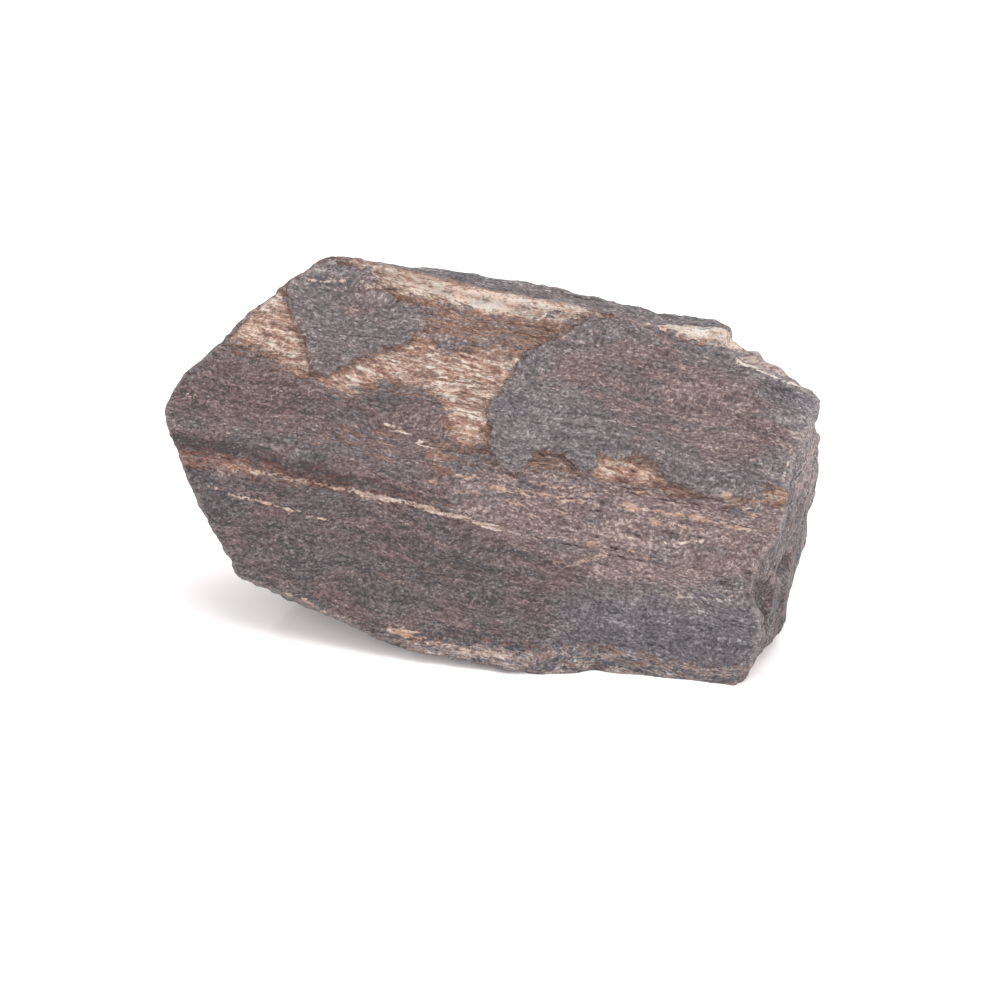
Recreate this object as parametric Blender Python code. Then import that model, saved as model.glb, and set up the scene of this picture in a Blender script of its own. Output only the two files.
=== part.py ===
"""Martite hand specimen: a broken slab of banded iron ore, one solid.

The stone stands on its broken edge and leans back, with its widest layer face
to the front. It is drawn from two outlines, the front view and the side view,
whose extrusions are intersected and then split by a few break planes. Relief
follows: thin sheets left on the face, layer steps on the broken sides, chips
and pits. Lengths are written in millimetres and turned into metres by MM.
"""
import math

import bmesh
import bpy
import numpy as np
from mathutils import Matrix, Vector, noise

MM = 0.001

# The face leans back from the vertical and crosses depth zero at this height.
FACE_LEAN = math.radians(34.0)
FACE_HEIGHT = 6.5
# Middle of the stone's box in the outlines' own coordinates.
MIDDLE_X = -31.89
MIDDLE_Y = 12.13

# Front view as (across, height), from the foot at the right, anticlockwise.
RIGHT_END = (
    (-0.9, -1.5), (0.0, 0.6), (1.2, 2.0), (1.6, 5.5), (2.0, 9.5), (2.4, 12.8),
    (2.9, 15.5), (3.2, 20.0), (3.8, 24.0), (4.5, 26.7), (5.0, 27.9),
)
TOP_EDGE = (
    (4.1, 28.5), (1.7, 29.2), (-2.1, 29.8), (-4.7, 30.6), (-6.1, 31.6),
    (-6.8, 33.6), (-15.0, 33.2), (-22.0, 33.9), (-30.0, 34.8), (-44.0, 36.4),
    (-50.5, 37.0),
)
LEFT_END = (
    (-53.5, 36.5), (-56.3, 35.1), (-58.5, 32.5), (-60.5, 30.2), (-63.3, 27.2),
    (-66.6, 24.5), (-68.0, 22.2), (-68.2, 20.5), (-67.3, 18.5), (-65.4, 16.0),
    (-62.4, 12.2), (-60.1, 9.5), (-57.8, 7.5),
)
UNDERSIDE = ((-55.5, 4.0), (-50.0, 0.5), (-46.0, -1.5))
# Side view as (depth, height): foot, crest, shoulder, waist, heel.
SIDE_VIEW = ((-5.4, -1.5), (21.8, 38.8), (27.8, 21.0), (21.2, 10.0), (20.0, -1.5))
SIDE_START = -75.0
SIDE_END = 12.0
FRONT_START = -9.0
FRONT_END = 34.0
# The foot's right half is broken away along this line on the floor, as
# (across, depth), and the break leans back by FOOT_TILT for each unit of height.
FOOT_BREAK = ((9.0, 0.1), (-15.5, -0.3), (-25.0, -4.8), (-25.0, -12.0), (9.0, -12.0))
FOOT_TILT = 0.187
FOOT_BREAK_BASE = -3.0
FOOT_BREAK_TOP = 20.0

# The crest ends at the notch. Right of it the top falls to the back below this
# outline, given as (depth, height) at the notch and shifted along NOTCH_RUN.
NOTCH_ACROSS = -6.5
NOTCH_BREAK = ((19.6, 31.4), (22.4, 25.2), (36.0, 25.2), (36.0, 44.0), (19.6, 44.0))
NOTCH_RUN = (18.0, -8.0, -5.3)

# A point well inside, and the break planes as three points each, all of them
# (across, depth, height). Each plane keeps the side that the inner point is on.
INNER_POINT = (-28.0, 13.0, 16.0)
BREAKS = (
    # Upper back, from the crest to the shoulder.
    ((-50.0, 21.7, 36.6), (-15.0, 27.6, 22.0), (-15.0, 23.4, 33.8)),
    # Two facets that take the shoulder off towards the ends.
    ((-20.0, 28.2, 20.5), (2.9, 23.0, 14.5), (-3.0, 21.0, 27.0)),
    ((-36.0, 27.6, 21.5), (-56.0, 22.0, 16.0), (-50.0, 22.6, 33.0)),
    # Back corner of the right end.
    ((4.4, 17.2, 26.5), (2.9, 23.0, 15.0), (-7.0, 28.5, 20.0)),
    # Upper left edge, lower back left and upper back left.
    ((-56.3, 19.3, 35.1), (-66.8, 12.3, 24.6), (-53.6, 25.3, 32.9)),
    ((-66.5, 15.5, 20.0), (-52.0, 28.5, 20.0), (-61.0, 15.5, 8.0)),
    ((-66.5, 15.5, 20.0), (-58.0, 17.5, 33.5), (-52.0, 28.5, 20.0)),
    # Underside, rising to the left and falling to the back.
    ((-54.1, -0.7, 5.4), (-43.8, -2.4, 3.0), (-50.0, 14.0, 1.6)),
    ((-43.8, -2.4, 3.0), (-36.0, -3.6, 1.1), (-40.0, 12.0, -0.6)),
    ((-36.0, -3.6, 1.1), (-25.5, -4.2, 0.2), (-30.0, 8.0, -1.0)),
)

# Sheets left on the face, as (across, up the face from depth zero).
BIG_SHEET = (
    (-21.7, 32.5), (-24.2, 30.3), (-28.5, 27.5), (-29.6, 24.2), (-31.5, 21.0),
    (-30.8, 17.8), (-29.5, 14.9), (-27.7, 14.0), (-26.5, 14.4), (-25.2, 16.9),
    (-22.1, 16.6), (-20.4, 15.2), (-18.9, 15.0), (-18.2, 17.6), (-15.8, 17.0),
    (-13.1, 17.5), (-10.6, 15.4), (-6.3, 14.0), (-1.4, 13.9), (0.5, 15.6),
    (9.0, 16.5), (9.0, 30.0), (-6.0, 30.4), (-10.0, 30.9), (-16.5, 32.4),
)
SHIELD_SHEET = (
    (-56.7, 31.5), (-56.5, 32.9), (-55.0, 34.8), (-52.3, 36.0), (-47.6, 35.5),
    (-44.0, 32.5), (-41.2, 31.3), (-39.9, 29.8), (-41.8, 27.4), (-45.4, 26.0),
    (-48.7, 24.2), (-50.1, 23.0), (-51.9, 23.3), (-53.6, 27.0),
)
LEFT_SHEET = (
    (-75.0, 14.0), (-66.0, 13.6), (-62.4, 11.9), (-51.3, 11.1), (-45.4, 10.3),
    (-33.8, 9.0), (-27.9, 7.9), (-25.2, 11.5), (-29.0, 14.2), (-31.0, 17.0),
    (-35.8, 16.0), (-36.5, 20.0), (-39.7, 22.5), (-44.8, 22.5), (-47.3, 20.5),
    (-53.6, 22.7), (-57.1, 24.6), (-62.1, 25.2), (-75.0, 24.0),
)
TOP_LEDGE = (
    (-49.6, 35.7), (-43.9, 35.1), (-37.1, 33.5), (-25.0, 32.7), (-16.5, 32.4),
    (-11.2, 31.2), (-5.9, 30.6), (-6.6, 33.6), (-15.0, 40.0), (-49.6, 40.0),
)
# Each sheet's thickness and how far its worn edge slopes.
SHEETS = (
    (BIG_SHEET, 0.60, 0.35),
    (SHIELD_SHEET, 0.50, 0.35),
    (LEFT_SHEET, 0.45, 0.45),
    (TOP_LEDGE, 0.75, 0.30),
)
SHEET_RAGGEDNESS = 0.55
SHEET_RAG_LENGTHS = (1.9, 1.5)

# Chips, pits and bulges: centre as (across, depth, height), radii the same
# way, and the push at the centre.
PUSHES = (
    # Front corner of the right end, the recess behind it and the crevice above.
    ((2.4, 3.0, 11.5), (3.2, 5.0, 5.0), (-1.5, 0.0, 0.0)),
    ((1.5, 5.5, 7.5), (3.0, 2.6, 3.4), (-1.5, 0.0, 0.0)),
    ((2.0, 11.5, 9.8), (3.0, 3.2, 1.6), (-1.2, 0.0, 0.0)),
    ((3.2, 11.5, 20.5), (3.0, 2.0, 3.0), (-0.7, 0.0, 0.0)),
    # Undercut heel at the right end.
    ((2.0, 21.0, 2.0), (11.0, 9.0, 7.5), (0.0, -5.5, 0.0)),
    # Chips on the lower left end, the back and the crest.
    ((-60.0, 9.0, 12.0), (4.0, 4.0, 3.0), (0.5, 0.0, 0.6)),
    ((-20.0, 27.0, 24.0), (9.0, 6.0, 5.0), (0.0, -1.6, 0.0)),
    ((-44.0, 26.0, 15.0), (8.0, 6.0, 6.0), (0.0, -1.5, 0.6)),
    ((-33.0, 25.5, 31.5), (6.0, 3.0, 3.0), (0.0, -0.9, 0.0)),
)
# The push is whole within this share of the radii and fades out to their end.
PUSH_CORE = 0.35

# Layers seen on the broken sides.
LAYER_SEED = 7
LAYER_THIN = 0.7
LAYER_THICK = 3.2
LAYER_SPAN = 60.0
LAYER_EDGE = 0.25
LAYER_STEP = 0.55
LAYER_PULL = 0.55
FOLD_HEIGHT = 1.6
FOLD_LENGTH = 21.0
PATCH_MEAN = 0.7
PATCH_SWING = 0.9
PATCH_LENGTH = 8.0

# How far a surface may turn away from the face, as the cosine of the angle, for
# the face's, the back's and the broken sides' own relief to fade in or out.
FACE_TURN = (0.55, 0.85)
BACK_TURN = (0.80, 0.95)
SIDE_TURN = (0.70, 0.95)
OBLIQUE_TURN = (0.15, 0.50)

# Lumps, back terraces and streaks, as height and wavelength.
LUMP_HEIGHT = 0.75
LUMP_LENGTH = 11.0
ROUGH_HEIGHT = 0.35
ROUGH_LENGTH = 3.2
FACE_SHARE = 0.35
TERRACE_HEIGHT = 0.7
TERRACE_LENGTH = 15.0
TERRACE_SQUASH = 0.6
TERRACE_COUNT = 3.0
TERRACE_RISER = 0.16
STREAK_HEIGHT = 0.10
STREAK_LENGTH = 14.0
STREAK_WIDTH = 1.3
STREAK_SLOPE = math.radians(10.0)

# Where each kind of noise is read, so that none repeats another.
LUMP_SHIFT = 0.0
SHEET_SHIFT = 3.0
ROUGH_SHIFT = 5.0
STREAK_SHIFT = 11.0
FOLD_SHIFT = 17.0
TERRACE_SHIFT = 23.0
PATCH_SHIFT = 31.0

# Mesh fineness: cells for the relief, then the triangles that are kept.
RELIEF_CELL = 0.55
KEPT_TRIANGLES = 9300
# The block below the floor, as length, depth and height.
FLOOR_SIZE = (120.0, 90.0, 10.0)

ROCK_COLOUR = (0.118, 0.094, 0.098, 1.0)
ROCK_ROUGHNESS = 0.72
ROCK_METALLIC = 0.0


def clear_scene():
    """Remove every object that is already there."""
    for thing in list(bpy.data.objects):
        bpy.data.objects.remove(thing, do_unlink=True)


def rock_material():
    """Return the dark steel-grey finish of the ore."""
    material = bpy.data.materials.new("martite_rock")
    material.use_nodes = True
    shader = material.node_tree.nodes["Principled BSDF"]
    shader.inputs["Base Color"].default_value = ROCK_COLOUR
    shader.inputs["Roughness"].default_value = ROCK_ROUGHNESS
    shader.inputs["Metallic"].default_value = ROCK_METALLIC
    return material


def new_object(name, mesh_builder):
    """Make a mesh object from a bmesh that is freed afterwards."""
    mesh = bpy.data.meshes.new(name)
    mesh_builder.to_mesh(mesh)
    mesh_builder.free()
    thing = bpy.data.objects.new(name, mesh)
    bpy.context.scene.collection.objects.link(thing)
    return thing


def extrude_outline(name, corners, run):
    """Extrude a closed outline, given as 3-D corners, along the vector run."""
    builder = bmesh.new()
    face = builder.faces.new([builder.verts.new(corner) for corner in corners])
    grown = bmesh.ops.extrude_face_region(builder, geom=[face])
    far_corners = [item for item in grown["geom"] if isinstance(item, bmesh.types.BMVert)]
    bmesh.ops.translate(builder, verts=far_corners, vec=run)
    bmesh.ops.recalc_face_normals(builder, faces=builder.faces)
    return new_object(name, builder)


def front_view_block():
    """Extrude the front view from before the foot to behind the back."""
    outline = RIGHT_END + TOP_EDGE + LEFT_END + UNDERSIDE
    corners = [Vector((across, FRONT_START, height)) * MM for across, height in outline]
    return extrude_outline("front_view", corners, Vector((0, FRONT_END - FRONT_START, 0)) * MM)


def side_view_block():
    """Extrude the side view along the whole length."""
    corners = [Vector((SIDE_START, depth, height)) * MM for depth, height in SIDE_VIEW]
    return extrude_outline("side_view", corners, Vector((SIDE_END - SIDE_START, 0, 0)) * MM)


def foot_cutter():
    """Extrude the broken foot's plan upwards, leaning back."""
    corners = [
        Vector((across, depth + FOOT_TILT * FOOT_BREAK_BASE, FOOT_BREAK_BASE)) * MM
        for across, depth in FOOT_BREAK
    ]
    rise = FOOT_BREAK_TOP - FOOT_BREAK_BASE
    return extrude_outline("foot_cutter", corners, Vector((0.0, FOOT_TILT * rise, rise)) * MM)


def notch_cutter():
    """Extrude the break behind the notch towards the right corner."""
    corners = [Vector((NOTCH_ACROSS, depth, height)) * MM for depth, height in NOTCH_BREAK]
    return extrude_outline("notch_cutter", corners, Vector(NOTCH_RUN) * MM)


def hide_tool(thing):
    """Mark a cutting body, which is no piece of the stone."""
    thing.hide_render = True
    thing.display_type = "WIRE"


def add_boolean(thing, tool, operation):
    """Put a Boolean with the given tool on the object."""
    modifier = thing.modifiers.new(operation.lower(), "BOOLEAN")
    modifier.operation = operation
    modifier.solver = "EXACT"
    modifier.object = tool
    hide_tool(tool)


def bake_modifiers(thing):
    """Turn the object's evaluated shape into its own mesh."""
    graph = bpy.context.evaluated_depsgraph_get()
    baked = bpy.data.meshes.new_from_object(thing.evaluated_get(graph))
    thing.modifiers.clear()
    thing.data = baked


def split_along(thing, first, second, third):
    """Break the body along a plane and keep the part behind it."""
    corner, right, up = (Vector(point) * MM for point in (first, second, third))
    outward = (right - corner).cross(up - corner).normalized()
    if outward.dot(Vector(INNER_POINT) * MM - corner) > 0.0:
        outward.negate()
    builder = bmesh.new()
    builder.from_mesh(thing.data)
    everything = list(builder.verts) + list(builder.edges) + list(builder.faces)
    cut = bmesh.ops.bisect_plane(
        builder, geom=everything, plane_co=corner, plane_no=outward, clear_outer=True
    )
    rim = [item for item in cut["geom_cut"] if isinstance(item, bmesh.types.BMEdge)]
    bmesh.ops.contextual_create(builder, geom=rim)
    bmesh.ops.recalc_face_normals(builder, faces=builder.faces)
    builder.to_mesh(thing.data)
    builder.free()


def face_frame(points):
    """Return across, up the face, and depth behind the face of each point."""
    above = points[:, 2] - FACE_HEIGHT
    up_face = points[:, 1] * math.sin(FACE_LEAN) + above * math.cos(FACE_LEAN)
    depth = points[:, 1] * math.cos(FACE_LEAN) - above * math.sin(FACE_LEAN)
    return points[:, 0], up_face, depth


def smooth_step(values, low, high):
    """Rise smoothly from 0 at low to 1 at high."""
    share = np.clip((values - low) / (high - low), 0.0, 1.0)
    return share * share * (3.0 - 2.0 * share)


def noise_field(columns, wavelengths, shift):
    """Sample smooth noise, with one wavelength for each of two or three columns."""
    places = np.full((len(columns[0]), 3), shift)
    for axis, (column, length) in enumerate(zip(columns, wavelengths)):
        places[:, axis] += column / length
    return np.array([noise.noise(Vector(place)) for place in places.tolist()])


def distance_inside(outline, across, up_face):
    """Return each point's distance to the outline, positive inside it."""
    nearest = np.full(across.shape, np.inf)
    inside = np.zeros(across.shape, dtype=bool)
    for (x0, y0), (x1, y1) in zip(outline, outline[1:] + outline[:1]):
        run_x, run_y = x1 - x0, y1 - y0
        along = ((across - x0) * run_x + (up_face - y0) * run_y) / (run_x**2 + run_y**2)
        along = np.clip(along, 0.0, 1.0)
        gap = np.hypot(across - x0 - along * run_x, up_face - y0 - along * run_y)
        nearest = np.minimum(nearest, gap)
        if run_y != 0.0:
            crosses = (up_face >= min(y0, y1)) & (up_face < max(y0, y1))
            inside ^= crosses & (across < x0 + (up_face - y0) * run_x / run_y)
    return np.where(inside, nearest, -nearest)


def sheet_relief(across, up_face):
    """Return how far the sheets stand out of the face."""
    rag = noise_field((across, up_face), SHEET_RAG_LENGTHS, SHEET_SHIFT)
    height = np.zeros(across.shape)
    for outline, thickness, slope in SHEETS:
        inside = distance_inside(outline, across, up_face) + SHEET_RAGGEDNESS * rag
        height = np.maximum(height, thickness * smooth_step(inside, -slope, slope))
    return height


def streak_relief(across, up_face):
    """Return low ridges that run along the face and slope to the right."""
    along = across * math.cos(STREAK_SLOPE) - up_face * math.sin(STREAK_SLOPE)
    beside = across * math.sin(STREAK_SLOPE) + up_face * math.cos(STREAK_SLOPE)
    wavelengths = (STREAK_LENGTH, STREAK_WIDTH)
    return STREAK_HEIGHT * noise_field((along, beside), wavelengths, STREAK_SHIFT)


def layer_relief(folded):
    """Return each layer's own step, and the way to the middle of its layer."""
    chance = np.random.default_rng(LAYER_SEED)
    count = int(LAYER_SPAN / LAYER_THIN)
    bounds = np.cumsum(chance.uniform(LAYER_THIN, LAYER_THICK, count)) - LAYER_SPAN / 3.0
    steps = chance.uniform(-LAYER_STEP, LAYER_STEP, count + 1)
    halves = 0.5 * np.diff(bounds, prepend=bounds[0] - LAYER_THICK, append=bounds[-1] + LAYER_THICK)
    knots = np.column_stack((bounds - LAYER_EDGE, bounds + LAYER_EDGE)).ravel()
    step_at_knots = np.column_stack((steps[:-1], steps[1:])).ravel()
    pull_at_knots = np.column_stack((halves[:-1], -halves[1:])).ravel()
    return np.interp(folded, knots, step_at_knots), np.interp(folded, knots, pull_at_knots)


def terrace_relief(across, up_face):
    """Return the broad steps that a split along the layers leaves."""
    wavelengths = (TERRACE_LENGTH, TERRACE_LENGTH * TERRACE_SQUASH)
    field = noise_field((across, up_face), wavelengths, TERRACE_SHIFT)
    level = (field + 1.0) * TERRACE_COUNT
    whole = np.floor(level)
    riser = smooth_step(level - whole, 0.0, TERRACE_RISER)
    return TERRACE_HEIGHT * (whole + riser - TERRACE_COUNT)


def push_relief(points):
    """Return the moves of the chips, pits and bulges at each point."""
    moves = np.zeros(points.shape)
    for centre, radii, push in PUSHES:
        reach = np.linalg.norm((points - np.array(centre)) / np.array(radii), axis=1)
        moves += np.array(push) * (1.0 - smooth_step(reach, PUSH_CORE, 1.0))[:, None]
    return moves


def weather(thing):
    """Move the vertices of the plain body to give it the stone's relief."""
    mesh = thing.data
    points = np.empty(len(mesh.vertices) * 3)
    mesh.vertices.foreach_get("co", points)
    points = points.reshape(-1, 3) / MM
    normals = np.empty(len(mesh.vertices) * 3)
    mesh.vertices.foreach_get("normal", normals)
    normals = normals.reshape(-1, 3)

    outward = np.array((0.0, -math.cos(FACE_LEAN), math.sin(FACE_LEAN)))
    across, up_face, depth = face_frame(points)
    facing = normals @ outward
    on_face = smooth_step(facing, *FACE_TURN)
    on_back = smooth_step(-facing, *BACK_TURN)
    on_side = 1.0 - smooth_step(np.abs(facing), *SIDE_TURN)

    columns = (points[:, 0], points[:, 1], points[:, 2])
    lumps = LUMP_HEIGHT * noise_field(columns, (LUMP_LENGTH,) * 3, LUMP_SHIFT)
    rough = ROUGH_HEIGHT * noise_field(columns, (ROUGH_LENGTH,) * 3, ROUGH_SHIFT)
    calm = 1.0 - (1.0 - FACE_SHARE) * on_face
    relief = (lumps + rough) * calm
    relief += on_face * streak_relief(across, up_face)

    fold = FOLD_HEIGHT * noise_field(columns, (FOLD_LENGTH,) * 3, FOLD_SHIFT)
    step, pull = layer_relief(depth + fold)
    patches = PATCH_SWING * noise_field(columns, (PATCH_LENGTH,) * 3, PATCH_SHIFT)
    relief += on_side * step * (PATCH_MEAN + patches)
    oblique = on_side * smooth_step(np.abs(facing), *OBLIQUE_TURN)
    along_outward = on_face * sheet_relief(across, up_face) + LAYER_PULL * oblique * pull
    along_outward -= on_back * terrace_relief(across, up_face)

    moved = points + normals * relief[:, None] + outward * along_outward[:, None]
    moved += push_relief(points)
    mesh.vertices.foreach_set("co", (moved * MM).ravel())
    mesh.update()


def floor_cutter():
    """Return the block that levels the spot the stone rests on."""
    builder = bmesh.new()
    size = Vector(FLOOR_SIZE) * MM
    bmesh.ops.create_cube(builder, size=1.0, matrix=Matrix.Diagonal(size).to_4x4())
    bmesh.ops.translate(builder, verts=builder.verts, vec=Vector((0.0, 0.0, -0.5 * size.z)))
    return new_object("floor_cutter", builder)


def build_martite():
    """Model the stone as one closed body, its resting spot at height zero."""
    stone = front_view_block()
    tools = (
        (side_view_block(), "INTERSECT"),
        (foot_cutter(), "DIFFERENCE"),
        (notch_cutter(), "DIFFERENCE"),
    )
    for tool, operation in tools:
        add_boolean(stone, tool, operation)
        bake_modifiers(stone)
        bpy.data.objects.remove(tool, do_unlink=True)
    for plane in BREAKS:
        split_along(stone, *plane)

    cells = stone.modifiers.new("cells", "REMESH")
    cells.mode = "VOXEL"
    cells.voxel_size = RELIEF_CELL * MM
    bake_modifiers(stone)
    weather(stone)

    closed = stone.modifiers.new("closed", "REMESH")
    closed.mode = "VOXEL"
    closed.voxel_size = RELIEF_CELL * MM
    bake_modifiers(stone)
    triangles = sum(len(face.vertices) - 2 for face in stone.data.polygons)
    fewer = stone.modifiers.new("fewer_triangles", "DECIMATE")
    fewer.ratio = KEPT_TRIANGLES / triangles
    bake_modifiers(stone)

    stone.data.transform(Matrix.Translation(Vector((-MIDDLE_X, -MIDDLE_Y, 0.0)) * MM))
    cutter = floor_cutter()
    add_boolean(stone, cutter, "DIFFERENCE")
    bake_modifiers(stone)
    bpy.data.objects.remove(cutter, do_unlink=True)
    stone.name = "martite"
    stone.data.name = "martite"
    stone.data.materials.clear()
    stone.data.materials.append(rock_material())


clear_scene()
build_martite()
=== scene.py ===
"""Martite hand specimen in its finished looks: one broken slab of banded iron ore.

The slab stands on its broken edge and leans back. Its body is drawn from a front
and a side outline, split by a few break planes, and then carved with the sheets
on its face, the layer steps on its broken sides and the grain of the ore. The
finish is worked from values that are kept on the mesh, so every band and sheet
is coloured where it stands out. Lengths are in millimetres until a mesh is done.
"""
from __future__ import annotations

import logging
import math
from dataclasses import dataclass, field
from enum import Enum
from typing import Mapping, Union

import bpy
import numpy as np
from mathutils import Matrix, Vector, noise
from mathutils.bvhtree import BVHTree


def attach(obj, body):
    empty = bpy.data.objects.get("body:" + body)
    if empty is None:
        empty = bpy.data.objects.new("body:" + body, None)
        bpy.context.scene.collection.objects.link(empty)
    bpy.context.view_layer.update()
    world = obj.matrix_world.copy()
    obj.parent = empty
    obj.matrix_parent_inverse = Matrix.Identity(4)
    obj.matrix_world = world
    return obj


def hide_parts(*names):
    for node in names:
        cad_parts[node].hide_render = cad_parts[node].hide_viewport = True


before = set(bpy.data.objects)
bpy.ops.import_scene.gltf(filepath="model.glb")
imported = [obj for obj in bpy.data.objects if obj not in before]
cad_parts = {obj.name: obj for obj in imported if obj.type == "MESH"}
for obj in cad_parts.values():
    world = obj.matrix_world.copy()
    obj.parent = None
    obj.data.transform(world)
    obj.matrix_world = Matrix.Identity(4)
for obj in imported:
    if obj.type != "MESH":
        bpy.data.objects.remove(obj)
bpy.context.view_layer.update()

MM = 0.001
Array = np.ndarray
Outline = tuple[tuple[float, float], ...]
Span = tuple[float, float]
Point = tuple[float, float, float]
Colour = tuple[float, float, float, float]
Ramp = tuple[tuple[float, Colour], ...]
# From and to, then what they become where that isn't 0 to 1.
Reach = tuple[float, ...]
Socket = bpy.types.NodeSocket
# What a node's socket is given: a wire from another socket, a number or a colour.
Feed = Union[Socket, float, Colour]


def tint(red: int, green: int, blue: int) -> Colour:
    """Turn a colour as a screen shows it into the linear colour of a finish.

    Args:
        red: the share of red, 0 to 255.
        green: the share of green, 0 to 255.
        blue: the share of blue, 0 to 255.

    Returns:
        The linear colour, fully opaque.
    """
    shares = (channel / 255.0 for channel in (red, green, blue))
    linear = [
        share / 12.92 if share <= 0.04045 else ((share + 0.055) / 1.055) ** 2.4
        for share in shares
    ]
    return (linear[0], linear[1], linear[2], 1.0)


def smooth_step(values: Array, low: float, high: float) -> Array:
    """Rise smoothly from 0 at low to 1 at high."""
    share = np.clip((values - low) / (high - low), 0.0, 1.0)
    return share * share * (3.0 - 2.0 * share)


class Cut(Enum):
    """What a tool body does to the stone."""

    KEEP_INSIDE = "INTERSECT"
    TAKE_AWAY = "DIFFERENCE"


class Record(Enum):
    """The values that are kept on the mesh for the finish."""

    BEDDING = "bedding"
    SKIN = "skin"
    SKIN_TONE = "skin_tone"
    UNDER_TONE = "under_tone"
    REDNESS = "redness"
    LINE = "line"
    LINE_TONE = "line_tone"
    BROKEN = "broken"
    EDGE = "edge"
    # Painted shade, kept under the name hollow: darker in hollows, under the left ledge and along
    # the sheets' feet.
    PAINTED_SHADE = "hollow"


@dataclass(frozen=True)
class Sheet:
    """A thin layer left on the face: its outline, thickness and the run of its worn edge."""

    outline: Outline
    thickness: float
    slope: float


@dataclass(frozen=True)
class Push:
    """A chip, pit or bulge: where it is, how far it reaches and its move."""

    centre: Point
    radii: Point
    move: Point


@dataclass(frozen=True)
class Patch:
    """A stretch of the face with its own value, fading out over soft."""

    outline: Outline
    value: float
    soft: float


@dataclass(frozen=True)
class Line:
    """A thin pale or rusty layer that crops out on the face, or a painted highlight along an edge.
    """

    points: Outline
    half_width: float
    strength: float
    tone: float


@dataclass(frozen=True)
class Layer:
    """A layer seen on the broken sides, from its depth behind the face inwards."""

    depth: float
    tone: float
    redness: float


# All outlines lie on the plane of the face: how far a corner is to the right of the
# right end's foot, and how far it is up the face from the crease above the foot.

# The sheets that stand out of the face.
BIG_SHEET: Outline = (
    (-21.7, 32.5), (-24.2, 30.3), (-28.5, 27.5), (-29.6, 24.2), (-31.5, 21.0), (-30.8, 17.8),
    (-29.5, 14.9), (-27.7, 14.0), (-26.5, 14.4), (-25.2, 16.9), (-22.1, 16.6), (-20.4, 15.2),
    (-18.9, 15.0), (-18.2, 17.6), (-15.8, 17.0), (-13.1, 17.5), (-10.6, 15.4), (-6.3, 14.0),
    (-1.4, 13.9), (0.5, 15.6), (9.0, 16.5), (9.0, 30.0), (-6.0, 30.4), (-10.0, 30.9), (-16.5, 32.4),
)
SHIELD_SHEET: Outline = (
    (-56.7, 31.5), (-56.5, 32.9), (-55.0, 34.8), (-52.3, 36.0), (-47.6, 35.5), (-44.0, 32.5),
    (-41.2, 31.3), (-39.9, 29.8), (-41.8, 27.4), (-45.4, 26.0), (-48.7, 24.2), (-50.1, 23.0),
    (-51.9, 23.3), (-53.6, 27.0),
)
LEFT_SKIN: Outline = (
    (-75.0, 13.2), (-66.5, 13.2), (-62.3, 12.9), (-57.5, 12.4), (-51.0, 11.6), (-45.0, 10.9),
    (-39.0, 10.2), (-33.8, 9.4), (-27.9, 8.4), (-25.2, 11.5), (-27.5, 14.0), (-31.0, 16.6),
    (-35.8, 16.2), (-36.6, 20.0), (-39.7, 22.5), (-43.5, 22.6), (-47.3, 20.5), (-53.6, 22.4),
    (-57.1, 24.2), (-62.1, 25.2), (-75.0, 24.0),
)
TOP_LEDGE: Outline = (
    (-49.6, 35.7), (-43.9, 35.1), (-37.1, 33.5), (-25.0, 32.7), (-16.5, 32.4), (-11.2, 31.2),
    (-5.9, 30.6), (-6.6, 33.6), (-15.0, 40.0), (-49.6, 40.0),
)

# Darker stretches that don't stand out: a crumb beside the shield, the strip along
# the crest, the lower left, and the two stretches of the foot with the edge that the
# last of them shares with the lower left.
CRUMB: Outline = (
    (-38.6, 28.5), (-37.6, 28.8), (-36.1, 28.2), (-36.1, 27.1), (-37.2, 26.6), (-38.2, 27.1),
)
CREST_STRIP: Outline = (
    (-49.7, 36.5), (-44.0, 35.9), (-37.3, 35.0), (-29.8, 34.3), (-21.9, 33.6), (-15.2, 32.6),
    (-6.5, 32.9), (-5.5, 33.2), (-5.0, 45.0), (-49.7, 45.0),
)
FOOT_EDGE: Outline = (
    (-15.6, -2.9), (-17.5, -3.3), (-19.8, -3.7), (-20.9, -4.5), (-23.6, -4.9), (-26.5, -4.5),
    (-29.2, -4.8), (-32.8, -5.3),
)
LOWER_LEFT: Outline = (
    (-75.0, 11.8), (-66.5, 11.5), (-58.5, 11.2), (-51.3, 10.6), (-45.4, 10.1), (-33.8, 8.8),
    (-28.4, 7.6), (-21.1, 5.2), (-17.3, 4.1), (-12.0, 3.3), (-12.0, -2.5), *FOOT_EDGE,
    (-39.0, -5.3), (-46.0, -8.0), (-75.0, -12.0),
)
BLUE_FOOT: Outline = (
    (9.0, 3.9), (-1.5, 3.2), (-7.4, 3.1), (-13.8, 3.2), (-17.5, 2.0), (-20.0, -0.5), (-20.5, -3.8),
    (-17.5, -3.3), (-15.6, -2.9), (-10.5, -3.0), (-9.0, -4.0), (-6.7, -3.9), (-3.2, -3.5),
    (9.0, -3.2),
)
STREAKY_FOOT: Outline = (
    (9.0, -3.2), (0.4, -3.5), (-3.2, -3.5), (-6.7, -3.9), (-9.0, -4.0), (-10.5, -3.0),
    (-14.4, -3.3), *FOOT_EDGE, (-39.0, -5.1), (-39.0, -16.0), (9.0, -16.0),
)

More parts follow.
